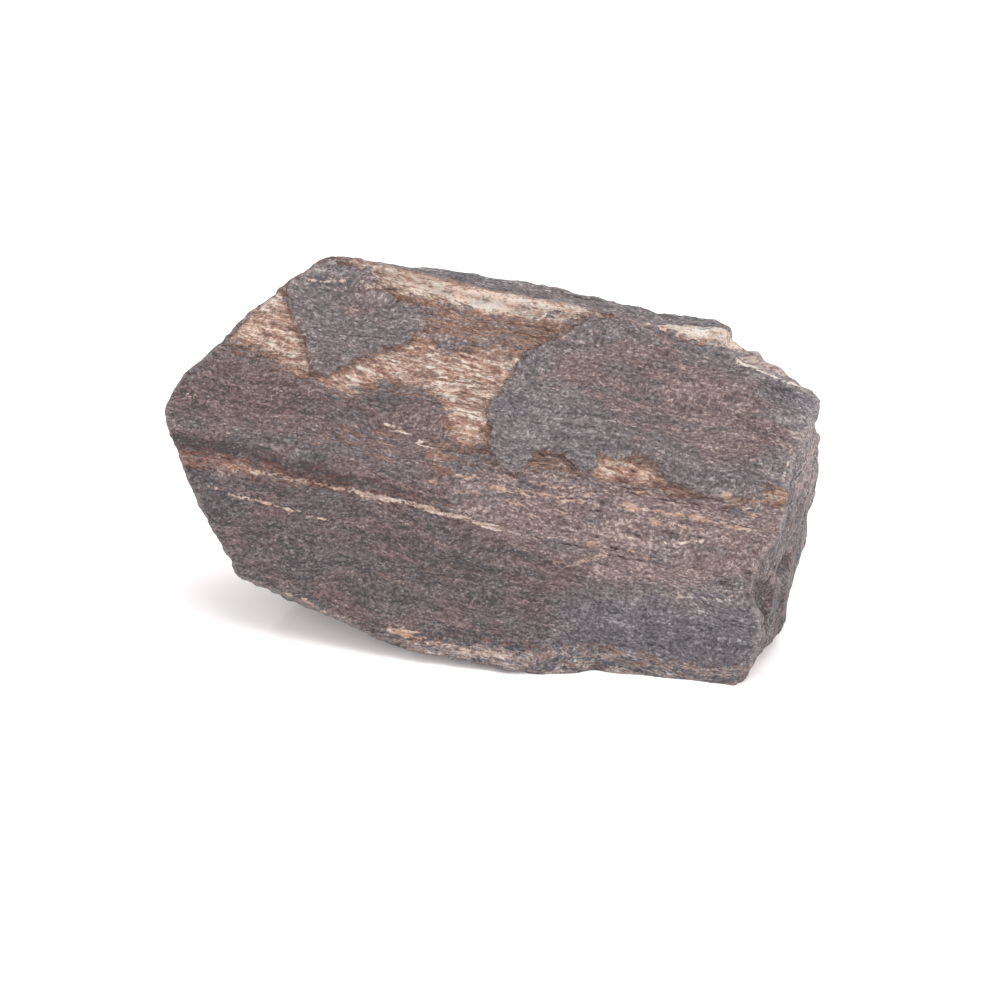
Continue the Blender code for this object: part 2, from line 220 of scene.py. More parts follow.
# Stretches where the layers below the dark ore show through.
BROWN_ZONE: Outline = (
    (-30.0, 14.6), (-17.8, 14.6), (-6.6, 13.6), (9.0, 14.6), (9.0, 2.3), (-1.5, 1.7), (-7.4, 1.6),
    (-13.8, 1.7), (-17.3, 2.5), (-21.1, 3.6), (-28.0, 6.6), (-33.8, 8.0), (-34.0, 12.0),
)
RUSTY_ZONE: Outline = (
    (-42.0, 33.0), (-31.8, 31.4), (-21.8, 32.5), (-24.2, 30.3), (-27.1, 28.6), (-28.5, 27.5),
    (-31.2, 27.9), (-35.7, 28.2), (-40.5, 28.6),
)
LEFT_TAN: Outline = (
    (-61.5, 30.4), (-56.7, 32.5), (-55.3, 29.4), (-53.6, 27.0), (-52.9, 24.6), (-51.9, 23.3),
    (-48.4, 21.3), (-53.6, 22.7), (-56.0, 22.9), (-57.1, 24.6), (-59.9, 25.6), (-62.1, 25.2),
    (-64.5, 26.6),
)
MIDDLE_TAN: Outline = (
    (-53.4, 22.6), (-51.1, 23.2), (-49.0, 23.0), (-46.3, 25.8), (-40.3, 27.7), (-36.3, 27.5),
    (-31.1, 27.6), (-28.9, 27.0), (-29.3, 24.2), (-31.3, 20.0), (-30.2, 16.4), (-35.3, 16.6),
    (-37.1, 21.8), (-42.0, 23.3), (-46.6, 20.6),
)
PALE_BAND: Outline = (
    (-50.5, 36.3), (-43.6, 35.6), (-37.3, 34.6), (-20.8, 33.3), (-6.0, 33.0), (-6.0, 30.6),
    (-13.4, 31.7), (-21.7, 32.4), (-25.1, 31.6), (-31.8, 31.6), (-38.9, 32.6), (-43.6, 33.3),
    (-48.0, 34.9),
)
PALE_RIM: Outline = (
    (-5.6, 30.2), (-3.9, 29.3), (-2.2, 28.8), (1.3, 27.8), (6.0, 26.8), (6.0, 25.8), (1.3, 26.7),
    (-2.2, 27.6), (-3.9, 28.1), (-5.6, 29.0),
)
SQUARED_END: Outline = (
    (-16.6, 33.2), (-12.0, 33.1), (-7.4, 33.3), (-4.8, 33.5), (-4.8, 30.0), (-8.1, 30.1),
    (-10.3, 30.6), (-13.2, 31.1), (-15.0, 32.2),
)
LOW_CRUMB: Outline = ((-25.6, 16.5), (-24.4, 17.3), (-21.9, 17.2), (-21.8, 15.7), (-25.5, 14.9))
PALE_CRUMB: Outline = (
    (-18.4, 17.1), (-17.5, 18.2), (-16.4, 18.1), (-14.8, 15.8), (-16.5, 14.5), (-19.2, 14.9),
)
ORANGE_CRUMB: Outline = ((-14.7, 16.2), (-13.8, 17.8), (-12.3, 17.7), (-10.2, 15.1), (-14.0, 14.8))
RIGHT_TIP: Outline = (
    (-3.5, 14.2), (-1.6, 14.3), (-0.2, 15.9), (3.6, 16.8), (3.8, 14.6), (1.0, 14.0), (-0.3, 12.9),
    (-1.8, 12.3), (-3.3, 12.8),
)
REDDISH_LAYER: Outline = (
    (-68.0, 13.0), (-62.6, 13.0), (-58.5, 12.7), (-54.0, 12.3), (-54.0, 11.4), (-58.3, 11.4),
    (-62.3, 11.3), (-68.0, 11.6),
)
FLECKED: Outline = (
    (-52.0, 17.3), (-45.0, 18.0), (-38.5, 17.5), (-35.5, 15.5), (-31.0, 14.5), (-31.0, 12.5),
    (-40.0, 13.0), (-50.0, 15.0),
)

# Stretches with a redness or tone of their own, and the painted shadow under the left sheet's
# ledge.
GREY_CORNER: Outline = (
    (-31.5, 22.0), (-29.0, 25.0), (-24.0, 24.0), (-17.0, 20.0), (-19.0, 15.0), (-30.0, 14.0),
)
RED_SHEET: Outline = (
    (-24.6, 29.0), (-18.1, 30.4), (-11.3, 29.7), (-4.3, 27.1), (1.5, 25.4), (2.0, 20.0),
    (-2.6, 17.5), (-8.2, 18.0), (-14.1, 20.4), (-20.0, 22.5), (-25.3, 24.0),
)
RED_LEFT: Outline = (
    (-70.0, 20.0), (-62.0, 23.0), (-54.3, 22.6), (-48.3, 20.4), (-38.0, 21.0), (-37.0, 17.0),
    (-47.5, 17.0), (-56.9, 17.5), (-70.0, 17.5),
)
# Painted shadow: a dark red band under the overhang of the left sheet.
LEDGE_PAINTED_SHADOW: Outline = (
    (-75.0, 15.0), (-62.3, 14.7), (-57.6, 14.0), (-50.0, 12.8), (-42.0, 11.6), (-34.0, 10.7),
    (-34.0, 10.0), (-44.0, 10.9), (-51.7, 11.8), (-57.6, 12.6), (-62.3, 13.0), (-75.0, 13.3),
)
SHIELD_TOP: Outline = ((-57.0, 33.2), (-50.0, 34.0), (-44.0, 33.4), (-44.0, 37.0), (-57.0, 37.0))

# Stretches of the broken sides, and the recess behind the right end's front corner, painted darker
# as shade.
NOTCH_WALL: Outline = (
    (-6.0, 30.0), (-6.0, 36.0), (9.0, 36.0), (9.0, 26.3), (3.0, 27.1), (-2.0, 28.2),
)
RIGHT_FLANK: Outline = ((2.4, 27.5), (9.0, 27.5), (9.0, 16.5), (2.3, 16.5))
RECESS_PAINTED_SHADE: Outline = ((0.0, 2.8), (3.0, 2.8), (3.0, 6.2), (0.0, 6.2))

SHEETS = (
    Sheet(BIG_SHEET, 0.45, 0.1225),
    Sheet(SHIELD_SHEET, 0.375, 0.1225),
    Sheet(LEFT_SKIN, 0.375, 0.14),
    Sheet(TOP_LEDGE, 0.5625, 0.105),
)
# The first sheets have a free edge, with a painted shadow line along its foot.
FREE_SHEETS = 3

# How far the dark ore covers the face, from bare to well covered: the value is the
# cover well inside, and below about 0.7 the flakes of the layer under it show through.
BARE = -1.0
COVER_PATCHES = (
    Patch(BIG_SHEET, 2.0, 0.60), Patch(SHIELD_SHEET, 2.0, 0.60), Patch(LEFT_SKIN, 1.00, 2.3),
    Patch(CRUMB, 0.7, 0.9), Patch(CREST_STRIP, 1.1, 0.6), Patch(LOWER_LEFT, 1.4, 0.9),
    Patch(BLUE_FOOT, 1.5, 1.0), Patch(BROWN_ZONE, 0.74, 1.6), Patch(RUSTY_ZONE, -0.08, 1.0),
    Patch(STREAKY_FOOT, -0.04, 0.5), Patch(REDDISH_LAYER, -0.15, 0.4),
)
# A stretch where the cover is worn thin again.
WORN = Patch(FLECKED, 0.78, 1.6)

# Tones go from 0, darkest, to 1, palest, and redness from below 0, bluish, to 1.
UNDER_TONE = 0.50
UNDER_PATCHES = (
    Patch(FLECKED, 0.70, 1.5), Patch(BROWN_ZONE, 0.47, 1.0), Patch(RUSTY_ZONE, 0.63, 1.2),
    Patch(LEFT_TAN, 0.71, 0.8), Patch(MIDDLE_TAN, 0.72, 0.7), Patch(PALE_BAND, 0.97, 0.5),
    Patch(SQUARED_END, 1.00, 0.3), Patch(LOW_CRUMB, 0.56, 0.4), Patch(PALE_CRUMB, 0.74, 0.4),
    Patch(ORANGE_CRUMB, 0.60, 0.4), Patch(RIGHT_TIP, 0.76, 0.5), Patch(REDDISH_LAYER, 0.64, 0.3),
    Patch(STREAKY_FOOT, 0.73, 0.5), Patch(PALE_RIM, 0.90, 0.3),
)
REDNESS = 0.45
REDNESS_PATCHES = (
    Patch(LEFT_SKIN, 0.62, 2.0), Patch(BIG_SHEET, 0.15, 0.6), Patch(RED_SHEET, 0.74, 2.2),
    Patch(GREY_CORNER, 0.15, 2.5), Patch(RED_LEFT, 0.85, 1.5), Patch(FLECKED, 0.52, 1.5),
    Patch(SHIELD_SHEET, 0.30, 1.0), Patch(LOWER_LEFT, 0.50, 1.5), Patch(BROWN_ZONE, 0.75, 1.5),
    # The ledge patch below reddens the painted shadow under the left sheet's overhang.
    Patch(RUSTY_ZONE, 0.75, 1.5), Patch(REDDISH_LAYER, 0.95, 0.5), Patch(LEDGE_PAINTED_SHADOW, 1.20, 0.5),
    Patch(LEFT_TAN, 0.45, 0.6), Patch(MIDDLE_TAN, 0.45, 0.6), Patch(BLUE_FOOT, -0.40, 3.0),
    Patch(STREAKY_FOOT, -0.80, 0.8), Patch(PALE_BAND, 0.35, 0.5), Patch(SQUARED_END, 0.32, 0.4),
    Patch(RIGHT_TIP, 0.30, 0.5),
)
SKIN_TONE = 0.50
SKIN_TONE_PATCHES = (
    Patch(LEFT_SKIN, 0.43, 2.0), Patch(RED_LEFT, 0.35, 2.0), Patch(BROWN_ZONE, 0.61, 1.5),
    # The ledge patch below darkens the painted shadow under the left sheet's overhang to near
    # black.
    Patch(RUSTY_ZONE, 0.56, 1.5), Patch(LEDGE_PAINTED_SHADOW, 0.05, 0.5), Patch(LOWER_LEFT, 0.28, 1.0),
    Patch(BLUE_FOOT, 0.48, 3.0), Patch(STREAKY_FOOT, 0.30, 0.8), Patch(SHIELD_TOP, 0.64, 1.0),
)
# Tones of the broken sides: the notch's wall and the upper right end painted paler, and the recess
# painted darker as shade.
SIDE_TONE_AND_SHADE_PATCHES = (
    Patch(NOTCH_WALL, 0.80, 0.5), Patch(RIGHT_FLANK, 0.70, 0.9), Patch(RECESS_PAINTED_SHADE, 0.32, 0.7),
)

LINES = (
    Line(((-57.5, 11.5), (-52.4, 11.0), (-48.3, 10.8), (-45.2, 10.6)), 0.34, 0.66, 0.72),
    Line(
        ((-45.2, 10.5), (-42.3, 10.1), (-38.5, 9.7), (-35.0, 9.2), (-28.0, 8.0)), 0.36, 0.76, 0.82,
    ),
    Line(((-61.6, 9.2), (-57.8, 8.5), (-53.6, 7.9), (-49.5, 7.3), (-47.1, 7.0)), 0.20, 0.74, 0.74),
    Line(((-4.9, 29.2), (-3.9, 28.7), (-2.2, 28.2), (-0.5, 27.7)), 0.22, 0.95, 0.94),
    Line(((-0.5, 27.7), (1.3, 27.2), (3.0, 26.7)), 0.14, 0.85, 0.90),
    Line(((-54.5, 33.6), (-49.3, 33.8), (-44.2, 33.6)), 0.34, 0.62, 0.74),
    Line(
        ((-35.5, 13.6), (-31.2, 13.1), (-27.8, 12.3), (-23.6, 12.2), (-17.5, 11.8)),
        0.34, 0.75, 0.70,
    ),
    Line(((-33.0, 14.4), (-29.5, 13.9), (-25.5, 13.4), (-20.5, 13.1)), 0.24, 0.60, 0.64),
    Line(((-36.9, 12.4), (-32.0, 11.6), (-27.0, 10.9), (-21.0, 10.6)), 0.24, 0.56, 0.60),
    Line(((-14.5, 11.9), (-10.8, 11.8), (-5.8, 11.5), (-0.8, 10.9)), 0.36, 0.73, 0.70),
    Line(((-18.8, 12.9), (-15.5, 13.9), (-11.8, 13.7), (-7.5, 12.9)), 0.26, 0.60, 0.66),
    Line(((-12.0, 10.6), (-7.0, 10.4), (-1.5, 9.7)), 0.24, 0.58, 0.64),
    Line(((-4.0, 14.4), (-2.2, 13.5), (-0.8, 12.3)), 0.60, 0.62, 0.68),
    Line(((-13.8, 8.6), (-9.1, 8.4), (-4.7, 9.5)), 0.24, 0.58, 0.78),
    Line(((-24.0, 7.8), (-19.0, 7.6), (-13.5, 7.2), (-8.0, 6.2)), 0.26, 0.58, 0.62),
    Line(((-21.4, 5.0), (-19.2, 5.0), (-16.5, 6.3), (-13.3, 7.6)), 0.30, 0.46, 0.60),
    Line(((-7.3, 2.8), (-2.7, 2.9), (-1.5, 3.3)), 0.18, 0.46, 0.76),
    Line(
        ((-38.5, -4.2), (-35.3, -4.9), (-32.2, -5.3), (-28.4, -5.7), (-25.0, -5.6)),
        0.45, 0.70, 0.68,
    ),
    Line(((-53.9, -1.3), (-50.1, -1.9), (-46.5, -2.9), (-43.3, -4.9)), 0.35, 0.58, 0.66),
    Line(((-42.6, 18.0), (-39.6, 17.5)), 0.38, 0.66, 0.80),
    Line(((-38.5, 16.6), (-36.3, 16.2)), 0.30, 0.62, 0.76),
    Line(((-66.0, 19.4), (-64.9, 19.1)), 0.40, 0.80, 0.80),
    # Painted highlight: a pale line along the face's right edge.
    Line(((2.5, 21.5), (2.4, 18.5), (2.3, 16.6)), 0.12, 0.66, 0.78),
)

PUSHES = (
    # Front corner of the right end, the recess behind it and the crevice above.
    Push((2.4, 3.0, 11.5), (3.2, 5.0, 5.0), (-1.5, 0.0, 0.0)),
    Push((1.5, 5.5, 7.5), (3.0, 2.6, 3.4), (-1.5, 0.0, 0.0)),
    Push((2.0, 11.5, 9.8), (3.0, 3.2, 1.6), (-1.2, 0.0, 0.0)),
    Push((3.2, 11.5, 20.5), (3.0, 2.0, 3.0), (-0.7, 0.0, 0.0)),
    # Crumbs of ore on the notch's floor.
    Push((-1.6, 17.6, 29.6), (3.0, 3.0, 3.0), (0.0, 0.0, 0.8)),
    Push((-4.4, 18.4, 30.2), (2.6, 3.0, 3.0), (0.0, 0.0, 1.0)),
    # Undercut heel at the right end.
    Push((2.0, 21.0, 2.0), (11.0, 9.0, 7.5), (0.0, -5.5, 0.0)),
    # Chips on the lower left end, the back and the crest.
    Push((-60.0, 9.0, 12.0), (4.0, 4.0, 3.0), (0.5, 0.0, 0.6)),
    Push((-20.0, 27.0, 24.0), (9.0, 6.0, 5.0), (0.0, -1.6, 0.0)),
    Push((-44.0, 26.0, 15.0), (8.0, 6.0, 6.0), (0.0, -1.5, 0.6)),
    Push((-33.0, 25.5, 31.5), (6.0, 3.0, 3.0), (0.0, -0.9, 0.0)),
)
# The layers as they crop out on the broken sides. Tones from 0.4 up are tan to
# pale, the rest is dark ore.
LAYERS = (
    Layer(-5.0, 0.16, 0.55), Layer(0.60, 0.10, 0.05), Layer(2.93, 0.36, 0.20),
    Layer(3.30, 0.18, 0.10), Layer(3.75, 0.33, 0.25), Layer(4.10, 0.12, 0.20),
    Layer(5.66, 0.26, 0.95), Layer(6.30, 0.16, 0.45), Layer(7.47, 0.10, 0.15),
    Layer(9.44, 0.37, 0.15), Layer(9.90, 0.20, 0.45), Layer(11.52, 0.12, 0.20),
    Layer(14.71, 0.24, 0.90), Layer(17.39, 0.50, 0.35), Layer(18.0, 0.16, 0.30),
    Layer(21.6, 0.40, 0.55), Layer(22.82, 0.12, 0.20),
)


@dataclass(frozen=True)
class Swell:
    """Smooth noise of one size. No two swells read it at the same place."""

    height: float
    lengths: tuple[float, ...]
    place: float

    def at(self, *columns: Array) -> Array:
        """Sample the noise.

        Args:
            columns: two or three coordinates of every point.

        Returns:
            One value for every point, about as high and as low as the height.
        """
        places = np.full((len(columns[0]), 3), self.place)
        for axis, (column, length) in enumerate(zip(columns, self.lengths)):
            places[:, axis] += column / length
        return self.height * np.array([noise.noise(Vector(place)) for place in places.tolist()])


@dataclass(frozen=True)
class Places:
    """Where points are: in space, on the plane of the face and through the layers."""

    points: Array
    across: Array
    up_face: Array
    depth: Array
    folded: Array
    torn: Array

    def from_line(self, line: Outline, lift: Array | float = 0.0) -> Array:
        """Measure how far the points are from an open line.

        Args:
            line: the line's corners.
            lift: how far the points are first moved up the face.

        Returns:
            The distances.
        """
        across, up_face = self.across, self.up_face + lift
        nearest = np.full(across.shape, np.inf)
        for (x0, y0), (x1, y1) in zip(line, line[1:]):
            run_x, run_y = x1 - x0, y1 - y0
            along = ((across - x0) * run_x + (up_face - y0) * run_y) / (run_x**2 + run_y**2)
            along = np.clip(along, 0.0, 1.0)
            gap = np.hypot(across - x0 - along * run_x, up_face - y0 - along * run_y)
            nearest = np.minimum(nearest, gap)
        return nearest

    def inside(self, outline: Outline, raggedness: float = 0.0) -> Array:
        """Measure how far the points are inside a closed outline.

        Args:
            outline: the outline's corners.
            raggedness: the share of the torn edges' wandering that is added.

        Returns:
            The distances, negative outside.
        """
        closed = outline + outline[:1]
        within = np.zeros(self.across.shape, dtype=bool)
        for (x0, y0), (x1, y1) in zip(closed, closed[1:]):
            if y0 != y1:
                crosses = (self.up_face >= min(y0, y1)) & (self.up_face < max(y0, y1))
                crossing = x0 + (self.up_face - y0) * (x1 - x0) / (y1 - y0)
                within ^= crosses & (self.across < crossing)
        nearest = self.from_line(closed)
        return np.where(within, nearest, -nearest) + raggedness * self.torn


@dataclass
class MeshWork:
    """Operator work on one object at a time, as it is done by hand."""

    softening: float = 0.5

    def alone(self, thing: bpy.types.Object) -> None:
        """Select one object and nothing else.

        Args:
            thing: the object.
        """
        bpy.ops.object.select_all(action="DESELECT")
        thing.select_set(True)
        bpy.context.view_layer.objects.active = thing

    def modify(self, thing: bpy.types.Object, kind: str, **settings: object) -> None:
        """Put a modifier on an object and apply it.

        Args:
            thing: the object.
            kind: the modifier's type.
            settings: its options.
        """
        self.alone(thing)
        modifier = thing.modifiers.new("work", kind)
        for name, value in settings.items():
            setattr(modifier, name, value)
        bpy.ops.object.modifier_apply(modifier="work")

    def finish_edit(self) -> None:
        """Turn every face outwards and leave edit mode."""
        bpy.ops.mesh.select_all(action="SELECT")
        bpy.ops.mesh.normals_make_consistent(inside=False)
        bpy.ops.object.mode_set(mode="OBJECT")

    def prism(self, name: str, corners: list[Point], run: Point) -> bpy.types.Object:
        """Make a block from a closed outline.

        Args:
            name: the block's name.
            corners: the outline's corners in millimetres.
            run: how far and where the outline is extruded.

        Returns:
            The new block, faces outwards.
        """
        bpy.ops.object.select_all(action="DESELECT")
        bpy.ops.mesh.primitive_circle_add(
            vertices=len(corners), fill_type="NGON", location=(0, 0, 0)
        )
        block = bpy.context.object
        block.name = name
        for vertex, corner in zip(block.data.vertices, corners):
            vertex.co = Vector(corner)
        bpy.ops.object.mode_set(mode="EDIT")
        bpy.ops.mesh.select_all(action="SELECT")
        bpy.ops.mesh.extrude_region_move(TRANSFORM_OT_translate={"value": run})
        self.finish_edit()
        return block

    def cut(self, thing: bpy.types.Object, tool: bpy.types.Object, way: Cut) -> None:
        """Cut the object with a tool body, which is then thrown away."""
        self.modify(thing, "BOOLEAN", operation=way.value, solver="EXACT", object=tool)
        bpy.data.objects.remove(tool, do_unlink=True)

    def break_off(self, thing: bpy.types.Object, place: Vector, outward: Vector) -> None:
        """Break off what lies outside a plane and close the break.

        Args:
            thing: the object.
            place: a point of the plane.
            outward: the direction in which the rest is broken off.
        """
        self.alone(thing)
        bpy.ops.object.mode_set(mode="EDIT")
        bpy.ops.mesh.select_all(action="SELECT")
        bpy.ops.mesh.bisect(plane_co=place, plane_no=outward, use_fill=True, clear_outer=True)
        self.finish_edit()

    def recell(self, thing: bpy.types.Object, cell: float) -> None:
        """Rebuild the surface from even cells, which also closes it."""
        self.modify(thing, "REMESH", mode="VOXEL", voxel_size=cell)

    def soften(self, thing: bpy.types.Object, rounds: int) -> None:
        """Wear the sharp breaks down a little."""
        self.modify(thing, "SMOOTH", factor=self.softening, iterations=rounds)

    def thin_out(self, thing: bpy.types.Object, triangles: int) -> None:
        """Keep about this many triangles, where the shape needs them most."""
        now = sum(len(face.vertices) - 2 for face in thing.data.polygons)
        self.modify(thing, "DECIMATE", ratio=min(1.0, triangles / now))

    def read(self, mesh: bpy.types.Mesh, what: str) -> Array:
        """Read a value of every vertex.

        Args:
            mesh: the mesh.
            what: co for the places, normal for the directions outwards.

        Returns:
            One row for every vertex.
        """
        values = np.empty(len(mesh.vertices) * 3, dtype=np.float32)
        mesh.vertices.foreach_get(what, values)
        return values.reshape(-1, 3).astype(float)

    def edges(self, mesh: bpy.types.Mesh) -> Array:
        """Read the mesh's edges.

        Args:
            mesh: the mesh.

        Returns:
            The two vertex numbers of every edge.
        """
        pairs = np.empty(len(mesh.edges) * 2, dtype=np.int32)
        mesh.edges.foreach_get("vertices", pairs)
        return pairs.reshape(-1, 2)

    def spread(self, values: Array, pairs: Array, rounds: int) -> Array:
        """Average every vertex with its neighbours, again and again.

        Args:
            values: one row or one number for every vertex.
            pairs: the mesh's edges.
            rounds: how often to average.

        Returns:
            The averaged values, in the same shape.
        """
        rows = values.reshape(len(values), -1)
        ends = np.concatenate((pairs[:, 0], pairs[:, 1]))
        others = np.concatenate((pairs[:, 1], pairs[:, 0]))
        count = np.maximum(np.bincount(ends, minlength=len(rows)), 1)[:, None]
        for _ in range(rounds):
            sums = [np.bincount(ends, column[others], len(rows)) for column in rows.T]
            rows = 0.5 * (rows + np.stack(sums, axis=1) / count)
        return rows.reshape(values.shape)

    def store(self, mesh: bpy.types.Mesh, record: Record, values: Array) -> None:
        """Keep values on a mesh.

        Args:
            mesh: the mesh.
            record: the name that they are kept under.
            values: one number or one row of three for every vertex.
        """
        kind, slot = ("FLOAT_VECTOR", "vector") if values.ndim > 1 else ("FLOAT", "value")
        attribute = mesh.attributes.new(record.value, kind, "POINT")
        attribute.data.foreach_set(slot, values.astype(np.float32).ravel())


@dataclass
class StoneShape:
    """The stone's driving outlines and planes, in the outlines' own coordinates."""

    middle_x: float = -31.89
    middle_y: float = 12.13
    right_end: Outline = (
        (-0.9, -1.5), (0.0, 0.6), (1.2, 2.0), (1.6, 5.5), (2.0, 9.5), (2.4, 12.8),
        (2.9, 15.5), (3.2, 20.0), (3.8, 24.0), (4.5, 26.7), (5.0, 27.9),
    )
    top_edge: Outline = (
        (4.1, 28.5), (1.7, 29.2), (-2.1, 29.8), (-4.7, 30.6), (-6.1, 31.6),
        (-6.8, 33.6), (-15.0, 33.2), (-22.0, 33.9), (-30.0, 34.8), (-44.0, 36.4),
        (-50.5, 37.0),
    )
    left_end: Outline = (
        (-53.5, 36.5), (-56.3, 35.1), (-58.5, 32.5), (-60.5, 30.2), (-63.3, 27.2),
        (-66.6, 24.5), (-68.0, 22.2), (-68.2, 20.5), (-67.3, 18.5), (-65.4, 16.0),
        (-62.4, 12.2), (-60.1, 9.5), (-57.8, 7.5),
    )
    underside: Outline = ((-55.5, 4.0), (-50.0, 0.5), (-46.0, -1.5))
    side_view: Outline = ((-5.4, -1.5), (21.8, 38.8), (27.8, 21.0), (21.2, 10.0), (20.0, -1.5))
    side_run: Span = (-75.0, 12.0)
    front_run: Span = (-9.0, 34.0)
    foot_break: Outline = ((9.0, 0.1), (-15.5, -0.3), (-25.0, -4.8), (-25.0, -12.0), (9.0, -12.0))
    foot_tilt: float = 0.187
    foot_rise: Span = (-3.0, 20.0)
    notch_across: float = -6.5
    notch_break: Outline = ((19.6, 31.4), (22.4, 25.2), (36.0, 25.2), (36.0, 44.0), (19.6, 44.0))
    notch_run: Point = (18.0, -8.0, -5.3)
    inner_point: Point = (-28.0, 13.0, 16.0)
    breaks: tuple[tuple[Point, Point, Point], ...] = (
        # Upper back, from the crest to the shoulder.
        ((-50.0, 21.7, 36.6), (-15.0, 27.6, 22.0), (-15.0, 23.4, 33.8)),
        # Two facets that take the shoulder off towards the ends.
        ((-20.0, 28.2, 20.5), (2.9, 23.0, 14.5), (-3.0, 21.0, 27.0)),
        ((-36.0, 27.6, 21.5), (-56.0, 22.0, 16.0), (-50.0, 22.6, 33.0)),
        # Back corner of the right end.
        ((4.4, 17.2, 26.5), (2.9, 23.0, 15.0), (-7.0, 28.5, 20.0)),
        # Upper left edge, lower back left and upper back left.
        ((-56.3, 19.3, 35.1), (-66.8, 12.3, 24.6), (-53.6, 25.3, 32.9)),
        ((-66.5, 15.5, 20.0), (-52.0, 28.5, 20.0), (-61.0, 15.5, 8.0)),
        ((-66.5, 15.5, 20.0), (-58.0, 17.5, 33.5), (-52.0, 28.5, 20.0)),
        # Underside, rising to the left and falling to the back.
        ((-54.1, -0.7, 5.4), (-43.8, -2.4, 3.0), (-50.0, 14.0, 1.6)),
        ((-43.8, -2.4, 3.0), (-36.0, -3.6, 1.1), (-40.0, 12.0, -0.6)),
        ((-36.0, -3.6, 1.1), (-25.5, -4.2, 0.2), (-30.0, 8.0, -1.0)),
    )

    def block(self, work: MeshWork) -> bpy.types.Object:
        """Cut the plain block of the stone.

        Args:
            work: the operator work.

        Returns:
            The block with flat breaks, before any relief.
        """
        near, far = self.front_run
        outline = self.right_end + self.top_edge + self.left_end + self.underside
        corners = [(x, near, z) for x, z in outline]
        stone = work.prism("martite_stone", corners, (0.0, far - near, 0.0))
        start, end = self.side_run
        corners = [(start, y, z) for y, z in self.side_view]
        side = work.prism("side", corners, (end - start, 0.0, 0.0))
        low, high = self.foot_rise
        lean = self.foot_tilt * low
        corners = [(x, y + lean, low) for x, y in self.foot_break]
        foot = work.prism("foot", corners, (0.0, self.foot_tilt * (high - low), high - low))
        corners = [(self.notch_across, y, z) for y, z in self.notch_break]
        notch = work.prism("notch", corners, self.notch_run)
        work.cut(stone, side, Cut.KEEP_INSIDE)
        work.cut(stone, foot, Cut.TAKE_AWAY)
        work.cut(stone, notch, Cut.TAKE_AWAY)
        for corners in self.breaks:
            corner, right, up = (Vector(point) for point in corners)
            outward = (right - corner).cross(up - corner).normalized()
            if outward.dot(Vector(self.inner_point) - corner) > 0.0:
                outward.negate()
            work.break_off(stone, corner, outward)
        return stone


@dataclass(frozen=True)
class FacePlane:
    """The plane of the widest layer face, which leans back from the vertical."""

    lean: float = math.radians(34.0)
    height: float = 6.5

    def outward(self) -> Array:
        """Return the direction that the face looks in."""
        return np.array((0.0, -math.cos(self.lean), math.sin(self.lean)))

    def split(self, points: Array) -> tuple[Array, Array, Array]:
        """Turn places in space into places on the face.

        Args:
            points: the points in millimetres.

        Returns:
            How far across, how far up the face and how deep behind it each point is.
        """
        above = points[:, 2] - self.height
        up_face = points[:, 1] * math.sin(self.lean) + above * math.cos(self.lean)
        depth = points[:, 1] * math.cos(self.lean) - above * math.sin(self.lean)
        return points[:, 0], up_face, depth


